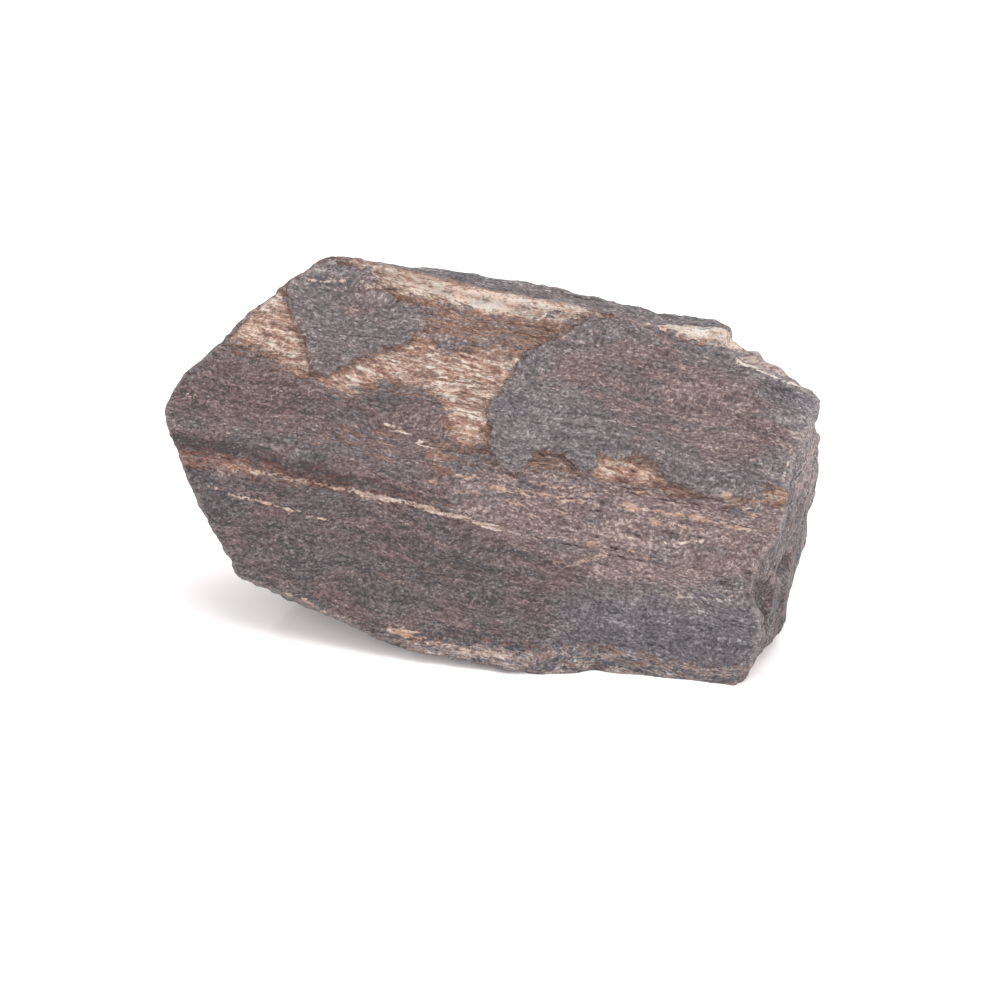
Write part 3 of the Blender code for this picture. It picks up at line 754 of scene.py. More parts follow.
@dataclass
class Relief:
    """The stone's relief: broad forms as in the solid, then the fine ones."""

    face: FacePlane = field(default_factory=FacePlane)
    # From which turn of the surface it counts as the face, the back or a side.
    face_turn: Span = (0.55, 0.85)
    back_turn: Span = (0.80, 0.95)
    side_turn: Span = (0.70, 0.95)
    oblique_turn: Span = (0.15, 0.50)
    # Folded layers, and the steps in which they break on the sides.
    folds: Swell = Swell(1.6, (21.0,) * 3, 17.0)
    layer_seed: int = 7
    layer_range: Span = (0.7, 3.2)
    layer_span: float = 60.0
    layer_lead: float = 20.0
    layer_edge: float = 0.12
    layer_step: float = 0.55
    layer_pull: float = 0.38
    step_mean: float = 0.7
    step_patches: Swell = Swell(0.9, (8.0,) * 3, 31.0)
    calm_end: Span = (-8.0, -3.0)
    calm_share: float = 0.65
    # Torn edges of the sheets on the face, and the painted shadow along their feet.
    tears: tuple[Swell, ...] = (
        Swell(0.3025, (1.9, 1.5), 3.0),
        Swell(0.45, (1.0, 0.6), 43.0),
        Swell(0.28, (0.5, 0.34), 43.0),
    )
    seam_shadow_strength: float = 0.9
    seam_offset: float = 0.12
    seam_width: float = 0.17
    # Terraces of the split back.
    terrace_plan: Swell = Swell(1.0, (15.0, 9.0), 23.0)
    terrace_height: float = 0.7
    terrace_count: float = 3.0
    terrace_riser: float = 0.10
    # Lumps all over, and streaks on the face.
    lumps: Swell = Swell(0.75, (11.0,) * 3, 0.0)
    rough: Swell = Swell(0.35, (3.2,) * 3, 5.0)
    face_share: float = 0.35
    streaks: Swell = Swell(0.10, (14.0, 1.3), 11.0)
    streak_slope: float = math.radians(10.0)
    # Fine forms: fibres of the layer below the sheets, laminae and crumbled stretches
    # of the broken sides, chips, grit, pocks and grains.
    fibre_slope: float = math.radians(5.0)
    fibre_bend: Swell = Swell(0.9, (8.0, 4.0), 73.0)
    fibres: Swell = Swell(0.16, (3.4, 0.75), 47.0)
    fibres_below: Span = (0.05, 0.35)
    laminae: Swell = Swell(0.17, (5.0, 5.0, 0.55), 53.0)
    crumble: Swell = Swell(0.30, (1.8, 1.2, 0.9), 59.0)
    crumble_start: Span = (2.6, 3.1)
    crumble_end: Span = (4.4, 5.0)
    chips: Swell = Swell(0.30, (1.5,) * 3, 79.0)
    chip_rise: float = 0.06
    grit: Swell = Swell(0.17, (0.8,) * 3, 83.0)
    pocks: Swell = Swell(0.11, (1.7,) * 3, 61.0)
    pock_rim: float = 0.011
    grains: Swell = Swell(0.085, (0.85,) * 3, 67.0)
    # The share of a push's reach over which it is full.
    push_core: float = 0.35

    def places(self, points: Array) -> Places:
        """Find out where points are on the face and through the layers.

        Args:
            points: the points in millimetres.

        Returns:
            Their places.
        """
        across, up_face, depth = self.face.split(points)
        torn = sum(tear.at(across, up_face) for tear in self.tears)
        return Places(points, across, up_face, depth, depth + self.folds.at(*points.T), torn)

    def turned(self, at: Places, slope: float) -> tuple[Array, Array]:
        """Turn places on the face so that they follow a slope to the right."""
        cosine, sine = math.cos(slope), math.sin(slope)
        return at.across * cosine - at.up_face * sine, at.across * sine + at.up_face * cosine

    def along_fibres(self, at: Places) -> tuple[Array, Array]:
        """Return the places along and beside the fibres, which bend a little."""
        along, beside = self.turned(at, self.fibre_slope)
        return along, beside + self.fibre_bend.at(along, beside)

    def sheets(self, at: Places) -> Array:
        """Lay the sheets on the face.

        Args:
            at: the places.

        Returns:
            How far the sheets stand out.
        """
        height = np.zeros(at.across.shape)
        for sheet in SHEETS:
            rise = smooth_step(at.inside(sheet.outline, 1.0), -sheet.slope, sheet.slope)
            height = np.maximum(height, sheet.thickness * rise)
        return height

    def painted_seam_shadows(self, at: Places) -> Array:
        """Draw the painted shadow line along the foot of the free sheets' edges.

        Args:
            at: the places.

        Returns:
            How strong the line is.
        """
        line = np.zeros(at.across.shape)
        for sheet in SHEETS[:FREE_SHEETS]:
            gap = (at.inside(sheet.outline, 1.0) + self.seam_offset) / self.seam_width
            line = np.maximum(line, self.seam_shadow_strength * np.exp(-(gap**2)))
        return line

    def layer_steps(self, folded: Array) -> tuple[Array, Array]:
        """Break the layers in steps.

        Args:
            folded: how deep in the folded layers each point is.

        Returns:
            Each layer's own step, and the way to the middle of the layer.
        """
        chance = np.random.default_rng(self.layer_seed)
        thin, thick = self.layer_range
        count = int(self.layer_span / thin)
        bounds = np.cumsum(chance.uniform(thin, thick, count)) - self.layer_lead
        steps = chance.uniform(-self.layer_step, self.layer_step, count + 1)
        ends = {"prepend": bounds[0] - thick, "append": bounds[-1] + thick}
        halves = 0.5 * np.diff(bounds, **ends)
        knots = np.column_stack((bounds - self.layer_edge, bounds + self.layer_edge)).ravel()
        step_at_knots = np.column_stack((steps[:-1], steps[1:])).ravel()
        pull_at_knots = np.column_stack((halves[:-1], -halves[1:])).ravel()
        return np.interp(folded, knots, step_at_knots), np.interp(folded, knots, pull_at_knots)

    def terrace_level(self, at: Places) -> Array:
        """Return which step of the split back each point is on, in shares."""
        return (self.terrace_plan.at(at.across, at.up_face) + 1.0) * self.terrace_count

    def terraces(self, at: Places) -> Array:
        """Raise the broad steps that a split along the layers leaves.

        Args:
            at: the places.

        Returns:
            How far they stand out, around 0.
        """
        level = self.terrace_level(at)
        whole = np.floor(level)
        riser = smooth_step(level - whole, 0.0, self.terrace_riser)
        return self.terrace_height * (whole + riser - self.terrace_count)

    def pushes(self, points: Array) -> Array:
        """Add up the chips, pits and bulges.

        Args:
            points: the points in millimetres.

        Returns:
            The move of each point.
        """
        moves = np.zeros(points.shape)
        for push in PUSHES:
            reach = np.linalg.norm((points - np.array(push.centre)) / np.array(push.radii), axis=1)
            moves += np.array(push.move) * (1.0 - smooth_step(reach, self.push_core, 1.0))[:, None]
        return moves

    def broad(self, at: Places, on_face: Array) -> Array:
        """Work out the lumps all over and the streaks on the face.

        Args:
            at: the places.
            on_face: 1 on the face, 0 elsewhere.

        Returns:
            How far every point is moved outwards.
        """
        relief = self.lumps.at(*at.points.T) + self.rough.at(*at.points.T)
        relief *= 1.0 - (1.0 - self.face_share) * on_face
        return relief + on_face * self.streaks.at(*self.turned(at, self.streak_slope))

    def fine(self, at: Places, on_face: Array, standing: Array) -> Array:
        """Work out the fine relief.

        Args:
            at: the places.
            on_face: 1 on the face, 0 elsewhere.
            standing: how far the sheets stand out of the face.

        Returns:
            How far every point is moved outwards.
        """
        layered = (*self.along_fibres(at), at.folded)
        bare = 1.0 - smooth_step(standing, *self.fibres_below)
        relief = on_face * bare * self.fibres.at(*layered[:2])
        sides = self.laminae.at(*layered) + self.grit.at(*at.points.T)
        sides += self.chip_rise - np.abs(self.chips.at(*at.points.T))
        relief += (1.0 - on_face) * sides
        crumbled = smooth_step(at.folded, *self.crumble_start)
        crumbled *= 1.0 - smooth_step(at.folded, *self.crumble_end)
        relief += crumbled * self.crumble.at(*layered)
        pocks = np.minimum(self.pocks.at(*at.points.T), self.pock_rim)
        return relief + pocks + self.grains.at(*at.points.T)

    def carve(self, points: Array, normals: Array) -> Array:
        """Carve the plain block.

        Args:
            points: the block's points in millimetres.
            normals: their directions outwards.

        Returns:
            The carved places.
        """
        at = self.places(points)
        outward = self.face.outward()
        facing = normals @ outward
        on_face = smooth_step(facing, *self.face_turn)
        on_back = smooth_step(-facing, *self.back_turn)
        on_side = 1.0 - smooth_step(np.abs(facing), *self.side_turn)
        oblique = on_side * smooth_step(np.abs(facing), *self.oblique_turn)
        step, pull = self.layer_steps(at.folded)
        standing = self.sheets(at)

        calm = 1.0 - self.calm_share * smooth_step(at.across, *self.calm_end)
        relief = self.broad(at, on_face) + self.fine(at, on_face, standing)
        relief += on_side * step * calm * (self.step_mean + self.step_patches.at(*points.T))
        standing_out = on_face * standing + self.layer_pull * oblique * pull
        standing_out -= on_back * self.terraces(at)
        moved = points + normals * relief[:, None] + outward * standing_out[:, None]
        return moved + self.pushes(points)


@dataclass
class OreValues:
    """The values that the finish reads, worked out for every vertex of the carved stone."""

    mesh: bpy.types.Mesh
    plain: BVHTree
    relief: Relief
    work: MeshWork
    # From which turn of the plain facets the surface is the face or the back.
    face_turn: Span = (0.70, 0.80)
    back_turn: Span = (0.80, 0.90)
    broken_rounds: int = 3
    squared_edge: Span = (-0.7, -0.1)
    squared_depth: Span = (1.5, 2.5)
    # The share of the torn edges' wandering that patches, lines and the ledge's painted shadow take
    # on.
    patch_raggedness: float = 0.8
    line_raggedness: float = 0.35
    ledge_raggedness: float = 0.5
    # The back's values, from its terraces and a slow drift.
    back_drift: Swell = Swell(1.0, (9.0,) * 3, 71.0)
    back_under: Span = (0.50, 0.20)
    back_redness: Span = (0.45, 0.8)
    back_cover: Span = (-0.5, 1.0)
    bare_level: float = 2.2
    cover_rise: float = 3.0
    # Over which shares of a line's half width it fades out.
    line_fade: Span = (0.3, 1.7)
    # Worn edges, the hollows that get painted shade, and the painted shadow under the left ledge:
    # how wide to look, and what counts as full.
    edge_rounds: int = 10
    hollow_rounds: int = 30
    edge_size: float = 0.10
    hollow_size: float = 0.28
    most_wear: float = 1.5
    ledge_shade: float = 0.85
    ledge_edge: Span = (-0.4, 0.5)

    def __post_init__(self) -> None:
        """Find out where every vertex is and how its plain facet is turned."""
        self.at = self.relief.places(self.work.read(self.mesh, "co"))
        self.pairs = self.work.edges(self.mesh)
        outward = self.relief.face.outward()
        self.facing = np.array([
            float(np.dot(self.plain.find_nearest(Vector(point))[1], outward))
            for point in self.at.points.tolist()
        ])
        self.behind = self.facing < 0.0
        self.broken = self._broken()
        self.in_front = (1.0 - self.behind) * (1.0 - self.broken)

    def _broken(self) -> Array:
        """Find where the layers are broken across.

        Returns:
            1 on the broken sides, 0 on the face and the back.
        """
        broken = 1.0 - smooth_step(self.facing, *self.face_turn)
        broken -= smooth_step(-self.facing, *self.back_turn)
        shallow = 1.0 - smooth_step(self.at.depth, *self.squared_depth)
        broken *= 1.0 - smooth_step(self.at.inside(SQUARED_END), *self.squared_edge) * shallow
        return self.work.spread(broken, self.pairs, self.broken_rounds)

    def _cover(self) -> Array:
        """Work out how far the dark ore covers the layers below it.

        Returns:
            The cover, BARE where there is none.
        """
        skin = np.full(self.facing.shape, BARE)
        for patch in COVER_PATCHES:
            inside = self.at.inside(patch.outline, 1.0)
            skin = np.maximum(skin, np.clip(inside / patch.soft, BARE, patch.value))
        worn = smooth_step(self.at.inside(WORN.outline), -WORN.soft, WORN.soft)
        level = self.relief.terrace_level(self.at)
        at_back = np.clip((level - self.bare_level) * self.cover_rise, *self.back_cover)
        return np.where(self.behind, at_back, skin - WORN.value * worn)

    def _painted(self, start: Array | float, patches: tuple[Patch, ...]) -> Array:
        """Lay patches over a starting value, one after the other.

        Args:
            start: the value, or one for every vertex.
            patches: the patches, each over the ones before it.

        Returns:
            One value for every vertex.
        """
        values = np.ones(self.facing.shape) * start
        for patch in patches:
            inside = self.at.inside(patch.outline, self.patch_raggedness)
            values += (patch.value - values) * smooth_step(inside, -patch.soft, patch.soft)
        return values

    def _lines(self) -> tuple[Array, Array]:
        """Draw the thin layers that crop out on the face, and the painted highlight along its right
        edge.

        Returns:
            Their strength and their tone.
        """
        strength = np.zeros(self.facing.shape)
        tone = np.full(self.facing.shape, UNDER_TONE)
        lift = self.line_raggedness * self.at.torn
        for line in LINES:
            low, high = (share * line.half_width for share in self.line_fade)
            faded = smooth_step(self.at.from_line(line.points, lift), low, high)
            here = line.strength * (1.0 - faded)
            tone = np.where(here > strength, line.tone, tone)
            strength = np.maximum(strength, here)
        return strength * self.in_front, tone

    def _wear(self) -> tuple[Array, Array]:
        """Find the worn edges, and where shade is painted: in the hollows, under the left ledge and
        along the sheets' feet.

        Returns:
            How much every vertex stands out, and how much painted shade it gets: how deep in a
            hollow it lies, or how near the left ledge or a sheet's foot.
        """
        points, normals = self.at.points, self.work.read(self.mesh, "normal")
        near = self.work.spread(points, self.pairs, self.edge_rounds)
        wide = self.work.spread(near, self.pairs, self.hollow_rounds)
        edge = np.einsum("ij,ij->i", points - near, normals) / self.edge_size
        hollow = np.einsum("ij,ij->i", wide - points, normals) / self.hollow_size
        edge, hollow = (np.clip(values, 0.0, self.most_wear) for values in (edge, hollow))
        # Painted shadow under the left ledge and along the free sheets' feet, laid over the
        # hollows' painted shade.
        ledge = smooth_step(self.at.inside(LEDGE_PAINTED_SHADOW, self.ledge_raggedness), *self.ledge_edge)
        shade = np.maximum(self.ledge_shade * ledge, self.relief.painted_seam_shadows(self.at))
        return edge, np.maximum(hollow, self.in_front * shade)

    def keep(self) -> None:
        """Work out all values and keep them on the mesh."""
        drift = self.back_drift.at(*self.at.points.T)
        under = self._painted(UNDER_TONE, UNDER_PATCHES)
        redness = self._painted(REDNESS, REDNESS_PATCHES)
        tone = np.where(self.behind, SKIN_TONE, self._painted(SKIN_TONE, SKIN_TONE_PATCHES))
        under_mean, under_drift = self.back_under
        redness_mean, redness_drift = self.back_redness
        line, line_tone = self._lines()
        edge, hollow = self._wear()
        kept = {
            Record.BEDDING: np.column_stack((*self.relief.along_fibres(self.at), self.at.folded)),
            Record.SKIN: self._cover(),
            Record.SKIN_TONE: self._painted(tone, SIDE_TONE_AND_SHADE_PATCHES),
            Record.UNDER_TONE: np.where(self.behind, under_mean + under_drift * drift, under),
            Record.REDNESS: np.where(self.behind, redness_mean + redness_drift * drift, redness),
            Record.LINE: line,
            Record.LINE_TONE: line_tone,
            Record.BROKEN: self.broken,
            Record.EDGE: edge,
            Record.PAINTED_SHADE: hollow,
        }
        for record, values in kept.items():
            self.work.store(self.mesh, record, values)


@dataclass(frozen=True)
class BedSize:
    """How coarse a pattern is along, beside and through the layers, in millimetres.

    Its detail is a number of octaves, and its values fill 0 to 1 over spread on each
    side of the middle.
    """

    along: float
    beside: float
    depth: float
    detail: float = 2.0
    spread: float = 0.20

    def lengths(self) -> dict[str, float]:
        """Return the three lengths by the names of their sockets."""
        return {"Along": self.along, "Beside": self.beside, "Depth": self.depth}


class Pattern(Enum):
    """The patterns that follow the layers, each with its size."""

    PATCHES = BedSize(9.0, 4.5, 4.5, detail=3.0)
    MOTTLE = BedSize(2.6, 1.1, 1.1, detail=3.0)
    BANDS = BedSize(9.0, 0.9, 0.9, spread=0.18)
    SPECKS = BedSize(0.37, 0.27, 0.27)
    LONG_FLAKES = BedSize(2.8, 0.74, 0.74, spread=0.19)
    SHORT_FLAKES = BedSize(1.15, 0.38, 0.38)
    RUSTING = BedSize(2.2, 0.9, 0.9, spread=0.14)
    LAMINAE = BedSize(8.0, 8.0, 0.40, detail=3.0, spread=0.18)
    STREAKS = BedSize(5.2, 0.42, 0.42, spread=0.17)
    TEARS = BedSize(0.8, 0.5, 0.7, spread=0.25)
    GRAIN = BedSize(0.32, 0.19, 0.19)


# Patterns that move a value, each with the span that it adds around 0.
Stir = tuple[tuple[Pattern, float], ...]


class NodeDesk:
    """Places shader nodes in one tree and wires them."""

    def __init__(self, tree: bpy.types.NodeTree) -> None:
        """Keep the tree that the nodes are placed in."""
        self.tree = tree

    def wire(self, source: Socket, target: Socket) -> None:
        """Wire one socket to another."""
        self.tree.links.new(source, target)

    def place(
        self, kind: str, inputs: Mapping[str | int, Feed] | None = None, **settings: object
    ) -> bpy.types.Node:
        """Place a node.

        Args:
            kind: the node's type.
            inputs: values or wires for its sockets, by name or number.
            settings: its options.

        Returns:
            The new node.
        """
        node = self.tree.nodes.new(kind)
        for name, value in settings.items():
            setattr(node, name, value)
        for key, value in (inputs or {}).items():
            if isinstance(value, Socket):
                self.wire(value, node.inputs[key])
            else:
                node.inputs[key].default_value = value
        return node

    def attribute(self, record: Record, output: str) -> Socket:
        """Read a value that is kept on the mesh."""
        return self.place("ShaderNodeAttribute", attribute_name=record.value).outputs[output]

    def maths(self, operation: str, *values: Feed) -> Socket:
        """Place a calculation on numbers or sockets."""
        return self.place("ShaderNodeMath", dict(enumerate(values)), operation=operation).outputs[0]

    def add(self, first: Feed, second: Feed) -> Socket:
        """Add two values."""
        return self.maths("ADD", first, second)

    def times(self, first: Feed, second: Feed) -> Socket:
        """Multiply two values."""
        return self.maths("MULTIPLY", first, second)

    def scaled(self, value: Feed, factor: float, offset: float = 0.0) -> Socket:
        """Multiply a value and add an offset."""
        return self.maths("MULTIPLY_ADD", value, factor, offset)

    def centred(self, value: Feed, span: float) -> Socket:
        """Turn a value of 0 to 1 into one around 0 that spans span."""
        return self.scaled(value, span, -0.5 * span)

    def mix(self, share: Feed, first: Feed, second: Feed) -> Socket:
        """Go from the first number to the second by share."""
        node = self.place("ShaderNodeMix", {0: share, 2: first, 3: second}, data_type="FLOAT")
        return node.outputs[0]

    def blend(self, share: Feed, first: Feed, second: Feed, way: str = "MIX") -> Socket:
        """Go from the first colour to the second by share, or multiply by the second."""
        inputs = {0: share, 6: first, 7: second}
        return self.place("ShaderNodeMix", inputs, data_type="RGBA", blend_type=way).outputs[2]

    def tinted(self, colour: Feed, by: Colour, share: Feed) -> Socket:
        """Multiply a colour by a tint, by share."""
        return self.blend(share, colour, by, "MULTIPLY")

    def remap(
        self, value: Feed, low: float, high: float, to_low: float = 0.0, to_high: float = 1.0,
        straight: bool = False,
    ) -> Socket:
        """Carry a value from one range to another.

        Args:
            value: the value.
            low: where the first range starts.
            high: where it ends.
            to_low: what low becomes.
            to_high: what high becomes.
            straight: whether the way between them is straight instead of smooth.

        Returns:
            The value in the second range, never outside it.
        """
        kind = "LINEAR" if straight else "SMOOTHSTEP"
        inputs = {0: value, 1: low, 2: high, 3: to_low, 4: to_high}
        return self.place("ShaderNodeMapRange", inputs, interpolation_type=kind).outputs[0]

    def ramp(self, value: Feed, stops: Ramp, steps: bool = False) -> Socket:
        """Turn a value into a colour.

        Args:
            value: the value.
            stops: the shares of 0 to 1, each with its colour.
            steps: whether each colour holds until the next one.

        Returns:
            The colour.
        """
        node = self.place("ShaderNodeValToRGB", {0: value})
        bar = node.color_ramp
        bar.interpolation = "CONSTANT" if steps else "LINEAR"
        bar.elements[0].position, bar.elements[0].color = stops[0]
        bar.elements[1].position, bar.elements[1].color = stops[-1]
        for share, colour in stops[1:-1]:
            bar.elements.new(share).color = colour
        return node.outputs[0]


@dataclass(frozen=True)
class BedGroup:
    """A node group that reads the bedding and a pattern's three lengths in millimetres."""

    name: str

    def opened(self, more: tuple[str, ...], outputs: tuple[str, ...]) -> tuple[NodeDesk, Mapping]:
        """Open the group with its sockets.

        Args:
            more: the names of its other inputs.
            outputs: the names of its outputs.

        Returns:
            A desk on its tree, and the sockets of what it is given.
        """
        tree = bpy.data.node_groups.new(self.name, "ShaderNodeTree")
        tree.interface.new_socket("Bedding", in_out="INPUT", socket_type="NodeSocketVector")
        for name in ("Along", "Beside", "Depth") + more:
            tree.interface.new_socket(name, in_out="INPUT", socket_type="NodeSocketFloat")
        for name in outputs:
            tree.interface.new_socket(name, in_out="OUTPUT", socket_type="NodeSocketFloat")
        desk = NodeDesk(tree)
        return desk, desk.place("NodeGroupInput").outputs

    def stretched(self, desk: NodeDesk, given: Mapping) -> Socket:
        """Divide the bedding by the three lengths given.

        Args:
            desk: the desk on the group's tree.
            given: the sockets of what the group is given.

        Returns:
            The place in the pattern.
        """
        lengths = {"X": given["Along"], "Y": given["Beside"], "Z": given["Depth"]}
        divisor = desk.place("ShaderNodeCombineXYZ", lengths).outputs[0]
        inputs = {0: given["Bedding"], 1: divisor}
        return desk.place("ShaderNodeVectorMath", inputs, operation="DIVIDE").outputs[0]


@dataclass(frozen=True)
class Grain(BedGroup):
    """Node group: the ore's grains, each with its own tone, and a few that glint: the mask of a
    painted glint highlight.
    """

    name: str = "ore_grain"
    rise: Reach = (0.8, 0.1)
    glint_from: float = 0.88
    glint_width: Reach = (0.80, 0.50)

    def build(self) -> bpy.types.NodeTree:
        """Build the group.

        Returns:
            The group, which puts out the grains' tone, height and glint.
        """
        desk, given = self.opened((), ("Tone", "Height", "Glint"))
        inputs = {"Vector": self.stretched(desk, given), "Scale": 1.0}
        cells = desk.place("ShaderNodeTexVoronoi", inputs)
        parts = desk.place("ShaderNodeSeparateColor", {"Color": cells.outputs["Color"]})
        distance = cells.outputs["Distance"]
        chosen = desk.remap(parts.outputs["Green"], self.glint_from, 1.0)
        desk.place("NodeGroupOutput", {
            "Tone": parts.outputs["Red"],
            "Height": desk.remap(distance, *self.rise),
            "Glint": desk.times(chosen, desk.remap(distance, *self.glint_width)),
        })
        return desk.tree


@dataclass(frozen=True)
class BedNoise(BedGroup):
    """Node group: noise drawn out along the layers."""

    name: str = "bed_noise"
    roughness: float = 0.6
    distortion: float = 0.45

    def build(self) -> bpy.types.NodeTree:
        """Build the group.

        Returns:
            The group, which puts out the noise, stretched from Low and High to 0 and 1.
        """
        desk, given = self.opened(("Detail", "Low", "High"), ("Value",))
        cloud = desk.place("ShaderNodeTexNoise", {
            "Vector": self.stretched(desk, given), "Scale": 1.0, "Detail": given["Detail"],
            "Roughness": self.roughness, "Distortion": self.distortion,
        })
        inputs = {0: cloud.outputs["Fac"], 1: given["Low"], 2: given["High"], 3: 0.0, 4: 1.0}
        even = desk.place("ShaderNodeMapRange", inputs)
        desk.place("NodeGroupOutput", {"Value": even.outputs[0]})
        return desk.tree


class OreDesk(NodeDesk):
    """The finish's desk, with the stone's kept values and all patterns laid out."""

    def __init__(self, tree: bpy.types.NodeTree) -> None:
        """Lay out what the finish is worked from.

        Args:
            tree: the finish's tree.
        """
        super().__init__(tree)
        self.bedding = self.attribute(Record.BEDDING, "Vector")
        self.kept = {
            record: self.attribute(record, "Fac")
            for record in Record if record is not Record.BEDDING
        }
        bed_noise = BedNoise().build()
        self.patterns: dict[Pattern, Socket] = {}
        for pattern in Pattern:
            size: BedSize = pattern.value
            inputs = {"Bedding": self.bedding, **size.lengths()}
            if pattern is Pattern.GRAIN:
                grains = self.place("ShaderNodeGroup", inputs, node_tree=Grain().build())
                self.patterns[pattern] = grains.outputs["Tone"]
                self.grain_height, self.glint = grains.outputs["Height"], grains.outputs["Glint"]
                continue
            inputs |= {"Detail": size.detail, "Low": 0.5 - size.spread, "High": 0.5 + size.spread}
            noises = self.place("ShaderNodeGroup", inputs, node_tree=bed_noise)
            self.patterns[pattern] = noises.outputs["Value"]

    def stirred(self, value: Feed, stir: Stir, share: Feed | None = None) -> Socket:
        """Move a value by patterns.

        Args:
            value: the value.
            stir: the patterns, each with its span.
            share: how much of each is added, all of it if left out.

        Returns:
            The moved value.
        """
        for pattern, span in stir:
            move = self.centred(self.patterns[pattern], span)
            value = self.add(value, move if share is None else self.times(move, share))
        return value

    def cut_by(self, value: Feed, pattern: Pattern, reach: Reach) -> Socket:
        """Take fine cracks, where the pattern is near its middle, off a value."""
        off_middle = self.maths("ABSOLUTE", self.centred(self.patterns[pattern], 1.0))
        return self.maths("SUBTRACT", value, self.remap(off_middle, *reach))


@dataclass(frozen=True)
class OreFinish:
    """The ore's finish: colours of its dark skin and of the layers below it."""

    name: str = "martite_rock"
    steel: Ramp = (
        (0.0, tint(46, 41, 43)), (0.25, tint(73, 66, 68)), (0.5, tint(92, 84, 86)),
        (0.75, tint(113, 105, 106)), (1.0, tint(154, 146, 145)),
    )
    maroon: Ramp = (
        (0.0, tint(51, 39, 39)), (0.25, tint(77, 61, 61)), (0.5, tint(98, 80, 79)),
        (0.75, tint(119, 100, 97)), (1.0, tint(160, 144, 137)),
    )
    under: Ramp = (
        (0.0, tint(46, 37, 37)), (0.2, tint(80, 63, 60)), (0.4, tint(109, 87, 78)),
        (0.55, tint(132, 109, 98)), (0.7, tint(154, 133, 121)), (0.85, tint(178, 163, 153)),
        (1.0, tint(201, 192, 184)),
    )
    rust: Colour = (1.0, 0.76, 0.64, 1.0)
    reddish: Colour = (0.90, 0.76, 0.82, 1.0)
    cool: Colour = (0.88, 0.97, 1.10, 1.0)
    dust: Colour = tint(150, 140, 136)
    # The colour of the painted glint highlight on a few grains.
    glint: Colour = tint(158, 151, 149)
    # The layers on the broken sides, and their cover: a factor on their tone, and an offset.
    layer_stir: Stir = ((Pattern.TEARS, 0.5),)
    last_layer: float = 5.0
    layer_cover: Span = (-6.0, 2.3)
    layer_lift: float = 0.06
    # Where the dark ore covers the layers below it, and how red the ore is.
    cover_stir: Stir = (
        (Pattern.TEARS, 0.6), (Pattern.STREAKS, 1.0), (Pattern.LONG_FLAKES, 0.7),
        (Pattern.SHORT_FLAKES, 0.7),
    )
    broken_cover_stir: Stir = ((Pattern.LAMINAE, 1.6),)
    cover_edge: Reach = (-0.20, 0.20)
    redness_stir: Stir = ((Pattern.PATCHES, 0.9), (Pattern.MOTTLE, 0.3), (Pattern.BANDS, 0.4))
    # The dark ore.
    dark_stir: Stir = (
        (Pattern.SPECKS, 0.58), (Pattern.GRAIN, 0.48), (Pattern.PATCHES, 0.10),
        (Pattern.MOTTLE, 0.20), (Pattern.BANDS, 0.18), (Pattern.SHORT_FLAKES, 0.20),
        (Pattern.STREAKS, 0.24),
    )
    broken_dark_stir: Stir = ((Pattern.LAMINAE, 0.42),)
    maroon_by_redness: Reach = (0.15, 0.85)
    dark_cool_by_redness: Reach = (0.20, -0.40, 0.0, 0.6)
    # How much of the painted glint highlight goes into the dark ore's colour.
    glint_share: float = 0.36
    # The layers below it.
    under_stir: Stir = (
        (Pattern.STREAKS, 0.30), (Pattern.LONG_FLAKES, 0.32), (Pattern.SHORT_FLAKES, 0.44),
        (Pattern.MOTTLE, 0.22), (Pattern.SPECKS, 0.26), (Pattern.GRAIN, 0.20),
    )
    cracks: Reach = (0.0, 0.10, 0.16, 0.0)
    partings: Reach = (0.0, 0.09, 0.20, 0.0)
    rust_by_redness: Reach = (-0.15, 0.35, 0.0, 0.68)
    reddish_by_redness: Reach = (0.70, 1.25)
    cool_by_redness: Reach = (0.00, -0.40)
    # The thin layers that crop out as lines, and the painted highlight along the right edge.
    line_stir: Stir = (
        (Pattern.LONG_FLAKES, 0.50), (Pattern.SHORT_FLAKES, 0.60), (Pattern.SPECKS, 0.30),
        (Pattern.MOTTLE, 0.30),
    )
    line_tone_stir: Stir = (
        (Pattern.SHORT_FLAKES, 0.30), (Pattern.SPECKS, 0.22), (Pattern.MOTTLE, 0.12),
    )
    rust_by_line_tone: Reach = (0.90, 0.62, 0.40, 1.4)
    line_edge: Reach = (0.42, 0.78)
    # Worn edges, and the painted shade of hollows, of the left ledge and of the sheets' feet.
    worn_stir: Stir = ((Pattern.SPECKS, 0.6),)
    dust_by_wear: Reach = (0.45, 1.3, 0.0, 0.30)
    shade_by_hollow: Reach = (0.25, 1.2, 0.0, 0.50)
    # Gloss and the finest relief.
    skin_roughness: float = 0.60
    under_roughness: float = 0.86
    rough_stir: Stir = ((Pattern.SPECKS, 0.16),)
    glint_roughness: float = -0.15
    specular: float = 0.45
    speck_height: float = 0.9
    grain_height: float = 0.5
    flake_height: float = 1.5
    lamina_height: float = 1.6
    bump_strength: float = 0.8
    bump_distance: float = 0.00010

    def build(self) -> bpy.types.Material:
        """Build the finish.

        Returns:
            The material, with its shader and all that feeds it.
        """
        material = bpy.data.materials.new(self.name)
        material.use_nodes = True
        desk = OreDesk(material.node_tree)
        broken = desk.kept[Record.BROKEN]
        layer_tone, layer_redness = self._layers(desk)

        layer_cover = desk.scaled(layer_tone, *self.layer_cover)
        cover = desk.stirred(desk.mix(broken, desk.kept[Record.SKIN], layer_cover), self.cover_stir)
        cover = desk.stirred(cover, self.broken_cover_stir, broken)
        skin = desk.remap(cover, *self.cover_edge)
        redness = desk.mix(broken, desk.kept[Record.REDNESS], layer_redness)
        redness = desk.stirred(redness, self.redness_stir)
        rusting = desk.remap(redness, *self.rust_by_redness)
        rusting = desk.times(desk.patterns[Pattern.RUSTING], rusting)

